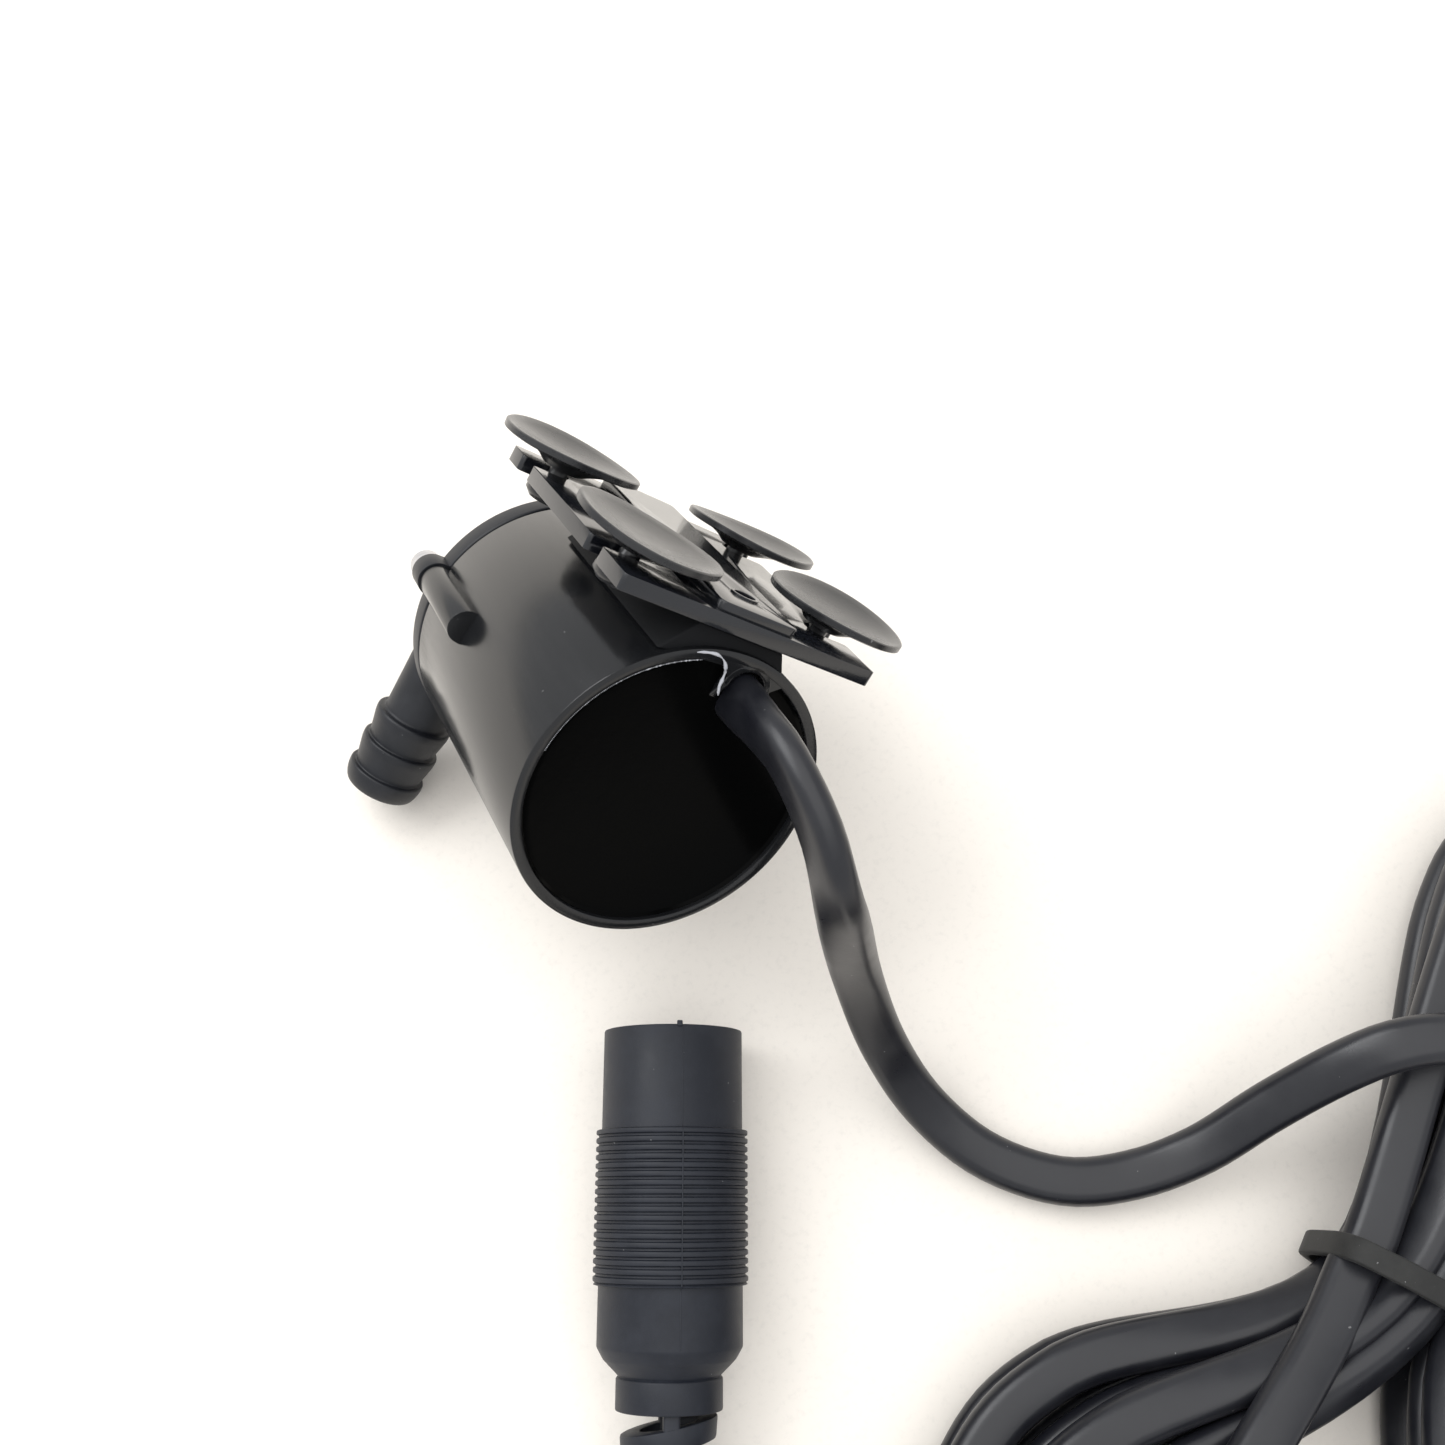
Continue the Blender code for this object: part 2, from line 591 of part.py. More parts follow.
def cover_seal(pump):
    """O-ring in the housing's front groove."""
    rubber = finish("seal_rubber", (0.05, 0.05, 0.05), 0.6)
    centre = (SEAL_RADIUS, FRONT_Y + SEAL_SECTION)
    ring = arc(centre, SEAL_SECTION, 0, 2 * math.pi * 9 / 10, 9)
    place("cover_seal", turned(ring, segments=48), rubber, pump)


def cover_screws(pump):
    """One screw through each lobe into its boss, with a cross recess."""
    seat = FLANGE_Y - GAP
    for number, angle in enumerate(BOSS_ANGLES, 1):
        screw = place(f"cover_screw_{number}", turned([
            (0, seat - SCREW_HEAD_HEIGHT), (SCREW_HEAD_RADIUS, seat - SCREW_HEAD_HEIGHT),
            (SCREW_HEAD_RADIUS, seat), (SCREW_RADIUS, seat),
            (SCREW_RADIUS, FRONT_Y + SCREW_LENGTH - MM), (0, FRONT_Y + SCREW_LENGTH),
        ], segments=24), steel(), pump, around_axis(angle, BOSS_DISTANCE))
        for across, turn in (("a", 0), ("b", math.pi / 2)):
            slot = block(
                (-1.1 * MM, seat - SCREW_HEAD_HEIGHT - MM, -0.25 * MM),
                (1.1 * MM, seat - SCREW_HEAD_HEIGHT + SCREW_RECESS, 0.25 * MM),
            )
            cut(screw, shifted(rotated(slot, turn), around_axis(angle, BOSS_DISTANCE)), across)


def inlet_strainer(pump):
    """Slotted cap that snaps over the inlet ring."""
    inner = INLET_RADIUS + INLET_WALL + GAP
    outer = inner + STRAINER_WALL
    rear = VOLUTE_Y - GAP
    front = rear - STRAINER_LENGTH
    cap = place("inlet_strainer", turned([
        (inner, rear), (outer, rear), (outer, front + 0.6 * MM), (outer - 0.6 * MM, front),
        (0, front), (0, front + STRAINER_WALL), (inner, front + STRAINER_WALL),
    ], segments=40), black_shell(), pump)
    pitch = STRAINER_SLOT + STRAINER_BAR
    for number in range(STRAINER_SLOTS):
        x = (number - (STRAINER_SLOTS - 1) / 2) * pitch
        half = math.sqrt(inner**2 - x**2) - STRAINER_BAR
        cut(cap, block(
            (x - STRAINER_SLOT / 2, front - MM, -half),
            (x + STRAINER_SLOT / 2, front + STRAINER_WALL + MM / 2, half),
        ), f"slot_{number + 1}")


# ---------------------------------------------------------------- suction plate

def cup_places():
    """(x, y) of each cup, front left, rear left, front right, rear right."""
    return [
        (RAIL_X + sx * CUP_SPACING_X / 2, CUP_CENTRE_Y + sy * CUP_SPACING_Y / 2)
        for sx in (-1, 1) for sy in (-1, 1)
    ]


def plate_outline():
    """The plate's outline with its four corners rounded."""
    left, right = RAIL_X - PLATE_WIDTH / 2, RAIL_X + PLATE_WIDTH / 2
    front = PLATE_REAR_Y - PLATE_LENGTH
    outline = []
    for quarter, (x, y) in enumerate((
        (right - PLATE_CORNER, PLATE_REAR_Y - PLATE_CORNER),
        (left + PLATE_CORNER, PLATE_REAR_Y - PLATE_CORNER),
        (left + PLATE_CORNER, front + PLATE_CORNER), (right - PLATE_CORNER, front + PLATE_CORNER),
    )):
        start = quarter * math.pi / 2
        outline += arc((x, y), PLATE_CORNER, start, start + math.pi / 2, 4)
    return outline


def suction_plate(pump):
    """Flat plate with four open cup slots and a band that slides over the rail's head."""
    front, stop = PLATE_REAR_Y - PLATE_LENGTH, RAIL_REAR_Y + GAP
    plate = place(
        "suction_plate", prism(plate_outline(), PLATE_OUTER_Z, PLATE_INNER_Z), black_shell(), pump
    )
    join(plate, block(
        (RAIL_X - BAND_WIDTH / 2, front + 0.4 * MM, BAND_Z),
        (RAIL_X + BAND_WIDTH / 2, PLATE_REAR_Y - 0.4 * MM, PLATE_OUTER_Z + PLATE_THICKNESS / 2),
    ), "band")
    stem, head = RAIL_STEM_WIDTH / 2 + GAP, RAIL_HEAD_WIDTH / 2 + GAP
    cut(plate, block(
        (RAIL_X - stem, front - MM, HEAD_BACK_Z), (RAIL_X + stem, stop, PLATE_INNER_Z + MM)
    ), "slot")
    cut(plate, block(
        (RAIL_X - head, front - MM, HEAD_BACK_Z - RAIL_HEAD_HEIGHT - GAP),
        (RAIL_X + head, stop, HEAD_BACK_Z + GAP),
    ), "head_room")
    hole = rod(BAND_HOLE_RADIUS, BAND_Z - MM, HEAD_BACK_Z, "Z", 24)
    cut(plate, shifted(hole, (RAIL_X, BAND_HOLE_Y, 0)), "band_hole")
    for number, (x, y) in enumerate(cup_places(), 1):
        side = math.copysign(1, x - RAIL_X)
        turn = math.pi / 2 * side
        mouth = RAIL_X + side * (PLATE_WIDTH / 2 + MM)
        slot = arc((x, y), SLOT_HALF, turn, turn + math.pi, 10)
        slot += [(mouth, y - side * SLOT_HALF), (mouth, y + side * SLOT_HALF)]
        cut(plate, prism(slot, PLATE_OUTER_Z - MM, PLATE_INNER_Z + MM), f"cup_slot_{number}")
    return plate


def suction_cups(pump):
    """Four soft cups, each with a neck in its slot and a head behind the plate."""
    soft = finish("cup_soft", (0.03, 0.031, 0.034), 0.42)
    face = -CUP_HEIGHT
    head = PLATE_THICKNESS + GAP
    dish = [
        (radius, face + CUP_DISH * (1 - (radius / (CUP_RADIUS - CUP_LIP)) ** 2))
        for radius in (share * (CUP_RADIUS - CUP_LIP) / 6 for share in range(6, -1, -1))
    ]
    outline = [
        (0, head + CUP_HEAD_HEIGHT), (CUP_HEAD_RADIUS * 0.7, head + CUP_HEAD_HEIGHT),
        (CUP_HEAD_RADIUS, head + CUP_HEAD_HEIGHT / 2), (CUP_HEAD_RADIUS, head),
        (CUP_NECK_RADIUS, head), (CUP_NECK_RADIUS, -GAP), (CUP_SHOULDER_RADIUS, -GAP),
        (CUP_SHOULDER_RADIUS + 0.4 * MM, -GAP - 0.7 * MM),
        (CUP_RADIUS * 0.7, face + CUP_RIM + 0.45 * MM),
        (CUP_RADIUS, face + CUP_RIM), (CUP_RADIUS, face),
    ] + dish
    for number, (x, y) in enumerate(cup_places(), 1):
        place(
            f"suction_cup_{number}", turned(outline, "Z", 36), soft, pump, (x, y, PLATE_OUTER_Z)
        )


# ---------------------------------------------------------------- connector

def connector():
    """Moulded shell, socket insert and its two contacts, lying along Y."""
    rear = -CONNECTOR_LENGTH
    grip_start = -SLEEVE_LENGTH
    grip_end = grip_start - GRIP_LENGTH
    taper_start = grip_end - REAR_SLEEVE_LENGTH
    neck = taper_start - TAPER_LENGTH
    relief = neck - RELIEF_COLLAR_LENGTH
    cavity = SLEEVE_RADIUS - SHELL_WALL
    cord_hole = CORD_WIDTH / 2 + GAP
    place_at = (CONNECTOR_X, CONNECTOR_FRONT_Y, GRIP_RADIUS)
    place("connector_shell", turned([
        (cavity, 0), (SLEEVE_RADIUS, 0), (SLEEVE_RADIUS, grip_start), (GRIP_RADIUS, grip_start),
        (GRIP_RADIUS, grip_end), (SLEEVE_RADIUS, grip_end), (SLEEVE_RADIUS, taper_start),
        (NECK_RADIUS, neck), (RELIEF_COLLAR_RADIUS, neck), (RELIEF_COLLAR_RADIUS, relief),
        (RELIEF_ROOT_RADIUS, relief), (RELIEF_END_RADIUS, rear), (cord_hole, rear),
        (cord_hole, -INSERT_LENGTH - MM), (cavity, -INSERT_LENGTH - MM),
    ], segments=56), black_soft(), location=place_at)
    outer = cavity - GAP
    socket = outer - INSERT_WALL
    floor = -GAP - SOCKET_DEPTH
    pin_room = PIN_RADIUS + GAP
    pin_rear = floor - PIN_EMBED
    place("socket_insert", turned([
        (socket, -GAP), (outer, -GAP), (outer, -INSERT_LENGTH), (0, -INSERT_LENGTH),
        (0, pin_rear - GAP), (pin_room, pin_rear - GAP), (pin_room, floor), (socket, floor),
    ], segments=40), finish("insert", (0.02, 0.02, 0.022), 0.45), location=place_at)
    brass = finish("brass", (0.78, 0.6, 0.3), 0.28, 1.0)
    place("contact_pin", turned([
        (0, -PIN_SETBACK), (PIN_RADIUS * 0.6, -PIN_SETBACK),
        (PIN_RADIUS, -PIN_SETBACK - 0.6 * MM), (PIN_RADIUS, pin_rear), (0, pin_rear),
    ], segments=24), brass, location=place_at)
    contact = socket - GAP
    place("contact_sleeve", tube(
        contact - CONTACT_WALL, contact, -PIN_SETBACK, floor + GAP, segments=32
    ), brass, location=place_at)


# ---------------------------------------------------------------- cord

def smooth_route(points):
    """Even points a cord step apart on a smooth curve through the given points."""
    points = [Vector(point) for point in points]
    ends = [2 * points[0] - points[1]] + points + [2 * points[-1] - points[-2]]
    fine = []
    for a, b, c, d in zip(ends, ends[1:], ends[2:], ends[3:]):
        for k in range(12):
            t = k / 12
            fine.append(0.5 * (
                2 * b + (c - a) * t + (2 * a - 5 * b + 4 * c - d) * t**2
                + (3 * b - a - 3 * c + d) * t**3
            ))
    fine.append(points[-1])
    spans = [(after - before).length for before, after in zip(fine, fine[1:])]
    count = max(2, round(sum(spans) / CORD_STEP))
    step, gone, even = sum(spans) / count, 0.0, [fine[0]]
    for before, after, span in zip(fine, fine[1:], spans):
        while len(even) < count and gone + span >= step * len(even):
            even.append(before.lerp(after, (step * len(even) - gone) / span))
        gone += span
    return even + [fine[-1]]


def lead(name, points):
    """A closed tube of the cord's width along a smooth route."""
    curve = bpy.data.curves.new(name, "CURVE")
    curve.dimensions = "3D"
    curve.bevel_depth = CORD_WIDTH / 2
    curve.bevel_resolution = CORD_SIDES
    curve.use_fill_caps = True
    route = smooth_route(points)
    spline = curve.splines.new("POLY")
    spline.points.add(len(route) - 1)
    for spot, point in zip(spline.points, route):
        spot.co = (*point, 1.0)
    curve.materials.append(finish("cord_black", (0.02, 0.021, 0.024), 0.4))
    obj = bpy.data.objects.new(name, curve)
    bpy.context.scene.collection.objects.link(obj)


def capsule(first, first_radius, second, second_radius, steps=14):
    """Outline round two circles of different size and the straight sides between them."""
    across = Vector(second) - Vector(first)
    heading = math.atan2(across.y, across.x)
    lean = math.acos((first_radius - second_radius) / across.length)
    far = arc(second, second_radius, heading - lean, heading + lean, steps)
    return far + arc(first, first_radius, heading + lean, heading + 2 * math.pi - lean, steps)


def hank():
    """The tied hank as a solid, and the strap round its waist."""
    low, high = HANK_BASE, HANK_BASE + HANK_HEIGHT
    cord = finish("cord_black", (0.02, 0.021, 0.024), 0.4)
    lower = capsule(HANK_LOWER, HANK_LOWER_RADIUS, HANK_WAIST, HANK_WAIST_RADIUS)
    upper = capsule(HANK_UPPER, HANK_UPPER_RADIUS, HANK_WAIST, HANK_WAIST_RADIUS)
    solid = place("cord_hank", prism(lower, low, high), cord)
    join(solid, prism(upper, low, high), "upper_lobe")
    room, top, bottom = TIE_REACH, high + GAP, low - GAP
    across = [(-room, bottom), (room, bottom), (room, top), (-room, top)]
    grown = TIE_THICKNESS
    around = [
        (-room - grown, bottom - grown), (room + grown, bottom - grown),
        (room + grown, top + grown), (-room - grown, top + grown),
    ]
    spot = (*HANK_WAIST, 0)
    tie = rotated(prism(around, -TIE_WIDTH / 2, TIE_WIDTH / 2, "Y"), TIE_ANGLE, "Z")
    strap = place("hank_tie", shifted(tie, spot), finish("strap", (0.03, 0.03, 0.033), 0.55))
    inside = rotated(prism(across, -TIE_WIDTH, TIE_WIDTH, "Y"), TIE_ANGLE, "Z")
    cut(strap, shifted(inside, spot), "inside")


# ---------------------------------------------------------------- assembly

def settle(pump):
    """Moves the pump so that its box stands on z = 0 with its middle over the origin."""
    bpy.context.view_layer.update()
    graph = bpy.context.evaluated_depsgraph_get()
    corners = []
    for piece in pump.children:
        if piece.hide_render:
            continue
        shown = piece.evaluated_get(graph)
        corners += [shown.matrix_world @ vertex.co for vertex in shown.data.vertices]
    low = Vector([min(corner[k] for corner in corners) for k in range(3)])
    high = Vector([max(corner[k] for corner in corners) for k in range(3)])
    pump.location -= Vector(((low.x + high.x) / 2, (low.y + high.y) / 2, low.z))
    bpy.context.view_layer.update()


def main():
    clear_scene()
    pump = bpy.data.objects.new("pump", None)
    pump.rotation_mode = "YXZ"
    pump.rotation_euler = (TAIL_UP, ROLL, HEADING)
    bpy.context.scene.collection.objects.link(pump)
    for make in (
        motor_housing, rear_potting, driver_board, stator, rotor, pump_cover,
        cover_seal, cover_screws, inlet_strainer, suction_plate, suction_cups,
    ):
        make(pump)
    settle(pump)
    connector()
    hank()
    mouth = Vector((COLLAR_X, EXIT_GAP, COLLAR_OUTER_Z + COLLAR_SLOT_SPREAD / 2))
    exit_points = [pump.matrix_world @ (mouth + Vector((0, run, 0))) for run in (0, EXIT_RUN)]
    arch = [exit_points[0] + Vector(step) * MM for step in SUPPLY_ARCH]
    table = [Vector(point) * MM for point in SUPPLY_ROUTE]
    lead("supply_cord", exit_points + arch + table)
    relief_end = Vector((CONNECTOR_X, CONNECTOR_FRONT_Y - CONNECTOR_LENGTH - GAP, GRIP_RADIUS))
    lead("tail_cord", [relief_end] + [Vector(point) * MM for point in TAIL_ROUTE])


main()
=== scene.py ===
"""Looks of a small submersible water pump: shells, suction cups, flat cord and connector.

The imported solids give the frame. Each class below makes one sub-assembly in millimetres, in
its own axes, and places it in the frame in metres. The pump's axes follow from its joints.
"""
import json
import logging
import math
from dataclasses import dataclass, field
from enum import Enum

import bmesh
import bpy
from mathutils import Matrix, Vector, noise


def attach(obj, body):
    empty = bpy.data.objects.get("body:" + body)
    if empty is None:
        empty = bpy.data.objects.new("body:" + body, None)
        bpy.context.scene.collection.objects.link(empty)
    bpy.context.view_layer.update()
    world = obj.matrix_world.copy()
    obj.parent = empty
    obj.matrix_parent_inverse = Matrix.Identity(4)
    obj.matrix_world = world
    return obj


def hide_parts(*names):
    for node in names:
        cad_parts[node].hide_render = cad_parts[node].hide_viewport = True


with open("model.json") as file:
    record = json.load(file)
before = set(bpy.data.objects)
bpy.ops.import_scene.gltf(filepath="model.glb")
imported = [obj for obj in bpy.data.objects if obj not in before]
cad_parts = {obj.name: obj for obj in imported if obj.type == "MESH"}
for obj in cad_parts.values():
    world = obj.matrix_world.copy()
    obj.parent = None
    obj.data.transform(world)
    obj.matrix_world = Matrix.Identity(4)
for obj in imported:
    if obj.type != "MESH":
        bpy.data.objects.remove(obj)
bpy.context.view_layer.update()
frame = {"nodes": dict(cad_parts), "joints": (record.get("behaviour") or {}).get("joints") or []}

LOG = logging.getLogger("pump")
MM = 0.001
FULL = 2 * math.pi


class Axis(Enum):
    """Axis that an outline is turned about or extruded along."""

    Y = "Y"
    Z = "Z"


class Body(Enum):
    """Rigid bodies that carry the placed pieces; each cup has its own as well."""

    PUMP = "pump_body"
    PLATE = "plate"


Pair = tuple[float, float]
Triple = tuple[float, float, float]
Outline = list[Pair]
Solid = bmesh.types.BMesh


# ---------------------------------------------------------------- sizes, mm

BODY_RADIUS = 15.0
BODY_LENGTH = 31.7
BODY_WALL = 1.1
BOSS_LENGTH = 10.4
BOSS_DISTANCE = 15.4
BOSS_ANGLES = (math.radians(185), math.radians(5))
COLLAR_X = 1.2
COLLAR_Z = -11.8
COLLAR_SPREAD = 1.9
COLLAR_SLOT = 1.85
COLLAR_WALL = 0.75
FLANGE_Y = -34.4
COVER_Y = -32.0
VOLUTE_Y = -43.0
VOLUTE_RADIUS = 10.0
INLET_RADIUS = 4.6
OUTLET_X = -6.9
OUTLET_Y = -39.0
OUTLET_REACH = 26.5
STEM_RADIUS = 3.6
BARB_RADIUS = 4.35
BARB_PITCH = 3.6
OUTLET_BORE = 2.5
RAIL_X = -1.5
SADDLE_WIDTH = 9.4
SADDLE_Z = -16.1
PLATE_WIDTH = 28.3
PLATE_LENGTH = 29.8
PLATE_REAR_Y = 0.6
PLATE_INNER_Z = -16.4
PLATE_OUTER_Z = -17.9
BAND_Z = -18.8
BAND_WIDTH = 8.8
CUP_RADIUS = 7.1
CUP_SPACING = (21.9, 18.6)
CUP_CENTRE_Y = -15.6
CUP_FACE_Z = -2.4
CUP_SHIFTS = ((1.65, -2.1), (1.35, -0.45), (1.35, 0.15), (3.0, -2.25))
CUP_TILTS = ((-2.0, 1.0), (0.5, -1.5), (-5.0, 2.0), (1.0, 2.0))

SPIN_TO_REAR = 20.0

CORD_WIDTH = 5.0
CORD_THICKNESS = 3.2
CORD_RING_STEP = 1.5
CORD_SIDES = 20
EXIT_GAP = 0.8
HANK_WAIST = Vector((83.4, -58.0, 0))
HANK_LOWER = Vector((61.6, -90.1, 0))
HANK_UPPER = Vector((115.9, -27.6, 0))
HANK_BASE = 1.4
TIE_ANGLE = math.radians(-29)
TIE_WIDTH = 2.4

CONNECTOR_X = 8.1
CONNECTOR_Y = -31.6
CONNECTOR_Z = 7.7
CONNECTOR_LENGTH = 51.1


def pump_axes() -> Matrix:
    """Finds the pump's own axes in the frame from its joints.

    Returns:
        Matrix: the axes and their origin, in millimetres.
    """
    joints = {joint["name"]: joint for joint in frame["joints"]}
    spin, across = joints["rotor_spin"], joints["cup_3_slide"]
    along = Vector(spin["axis"]).normalized()
    side = Vector(across["axis"]).normalized()
    up = side.cross(along)
    origin = Vector(spin["pos_m"]) / MM + along * SPIN_TO_REAR
    axes = Matrix((side, along, up)).transposed().to_4x4()
    axes.translation = origin
    return axes


PUMP = pump_axes()


# ---------------------------------------------------------------- shader work

class Wire:
    """A shader socket that takes part in sums."""

    def __init__(self, tree: bpy.types.NodeTree, socket: bpy.types.NodeSocket) -> None:
        """Keeps the socket and the tree that holds it."""
        self.tree = tree
        self.socket = socket

    def _math(self, operation: str, other: "Wire | float", turned_round: bool = False) -> "Wire":
        """Adds a Math node on this value and another.

        Args:
            operation: the node's operation.
            other: the second value.
            turned_round: whether the other value comes first.

        Returns:
            Wire: the result.
        """
        node = self.tree.nodes.new("ShaderNodeMath")
        node.operation = operation
        pair = (other, self) if turned_round else (self, other)
        for socket, value in zip(node.inputs, pair):
            feed(self.tree, socket, value)
        return Wire(self.tree, node.outputs[0])

    def __add__(self, other: "Wire | float") -> "Wire":
        """This value plus another."""
        return self._math("ADD", other)

    def __radd__(self, other: float) -> "Wire":
        """A number plus this value."""
        return self._math("ADD", other, True)

    def __sub__(self, other: "Wire | float") -> "Wire":
        """This value less another."""
        return self._math("SUBTRACT", other)

    def __rsub__(self, other: float) -> "Wire":
        """A number less this value."""
        return self._math("SUBTRACT", other, True)

    def __mul__(self, other: "Wire | float") -> "Wire":
        """This value times another."""
        return self._math("MULTIPLY", other)

    def __rmul__(self, other: float) -> "Wire":
        """A number times this value."""
        return self._math("MULTIPLY", other, True)

    def above(self, level: float) -> "Wire":
        """1 where the value is over the level, else 0."""
        return self._math("GREATER_THAN", level)


def feed(
    tree: bpy.types.NodeTree, socket: bpy.types.NodeSocket, value: "Wire | float | tuple",
) -> None:
    """Links a wire to a socket, or sets the socket's own value.

    Args:
        tree: the node tree that holds the socket.
        socket: the input to feed.
        value: a Wire, a number, or a colour or vector.
    """
    if isinstance(value, Wire):
        tree.links.new(value.socket, socket)
    else:
        socket.default_value = value


class Surface:
    """One material's node tree, with the Principled shader ready to feed."""

    def __init__(self, name: str) -> None:
        """Makes a material.

        Args:
            name: its name.
        """
        self.material = bpy.data.materials.new(name)
        self.material.use_nodes = True
        self.tree = self.material.node_tree
        self.shader = self.tree.nodes["Principled BSDF"]

    def node(
        self, kind: str, settings: dict | None = None, output: int | str = 0, **sockets: object,
    ) -> Wire:
        """Adds a node.

        Args:
            kind: the node's type name without its ShaderNode prefix.
            settings: its properties.
            output: the index or name of the output to return.
            sockets: its inputs, with _ for a space.

        Returns:
            Wire: the chosen output.
        """
        made = self.tree.nodes.new("ShaderNode" + kind)
        for key, value in (settings or {}).items():
            setattr(made, key, value)
        for key, value in sockets.items():
            feed(self.tree, made.inputs[key.replace("_", " ")], value)
        return Wire(self.tree, made.outputs[output])

    def place(self) -> Wire:
        """Reads the position on the object, along the pump's axes.

        Returns:
            Wire: the position.
        """
        where = self.node("TexCoord", output="Object")
        turn = PUMP.to_3x3().inverted().to_euler()
        return self.node("Mapping", Vector=where, Rotation=tuple(turn))

    def stretched(self, scale: Triple, turn: Triple = (0, 0, 0)) -> Wire:
        """The position scaled by a different amount along each axis, and turned."""
        return self.node("Mapping", Vector=self.place(), Scale=scale, Rotation=turn)

    def grain(
        self, scale: float, detail: float = 3.0, roughness: float = 0.55,
        where: Wire | None = None,
    ) -> Wire:
        """Adds noise.

        Args:
            scale: grains a metre.
            detail: octaves of finer noise.
            roughness: strength of the finer octaves.
            where: the position to read it at, or None for the object's own.

        Returns:
            Wire: the noise, 0 to 1.
        """
        return self.node(
            "TexNoise", output="Fac", Vector=where or self.place(), Scale=scale,
            Detail=detail, Roughness=roughness,
        )

    def blend(self, amount: Wire, first: "Wire | tuple", second: "Wire | tuple") -> Wire:
        """Mixes two colours.

        Args:
            amount: share of the second colour.
            first: the colour where the share is 0.
            second: the colour where the share is 1.

        Returns:
            Wire: the mixed colour.
        """
        made = self.tree.nodes.new("ShaderNodeMix")
        made.data_type = "RGBA"
        for index, value in ((0, amount), (6, first), (7, second)):
            feed(self.tree, made.inputs[index], value)
        return Wire(self.tree, made.outputs[2])

    def ramp(self, value: Wire, low: float, high: float) -> Wire:
        """Brings a value to 0..1.

        Args:
            value: the value.
            low: what becomes 0.
            high: what becomes 1.

        Returns:
            Wire: the new value.
        """
        return self.node(
            "MapRange", Value=value, From_Min=low, From_Max=high, To_Min=0.0, To_Max=1.0
        )

    def bump(self, height: Wire, depth: float, strength: float = 1.0) -> None:
        """Feeds a bump of a depth in metres to the shader's normal."""
        normal = self.node("Bump", Height=height, Distance=depth, Strength=strength)
        self.set(Normal=normal)

    def set(self, **sockets: object) -> None:
        """Feeds the shader's inputs."""
        for key, value in sockets.items():
            feed(self.tree, self.shader.inputs[key.replace("_", " ")], value)

    def fix(self, **sockets: float) -> None:
        """Sets shader inputs that are the same all over the surface."""
        for key, value in sockets.items():
            self.shader.inputs[key.replace("_", " ")].default_value = value


@dataclass(frozen=True)
class Finish:
    """How one kind of surface looks.

    Attributes:
        colour: its base colour.
        worn: the colour where it is worn or dusty.
        wear: share of the worn colour at its strongest.
        roughness: its lowest roughness.
        spread: how far the roughness varies.
        grain: grains a metre of the fine texture.
        depth: height of the fine texture, in metres.
        specks: share of the surface with dust specks.
        metallic: 1 for a metal.
        coat: weight of the clear coat.
        specular: specular level.
        sheen: weight of the dusty sheen.
        lines: scale of the texture along each axis, for drawn or moulded streaks.
    """

    colour: Triple
    worn: Triple
    wear: float
    roughness: float
    spread: float
    grain: float
    depth: float
    specks: float = 0.0
    metallic: float = 0.0
    coat: float = 0.0
    specular: float = 0.5
    sheen: float = 0.0
    lines: Triple = (1.0, 1.0, 1.0)


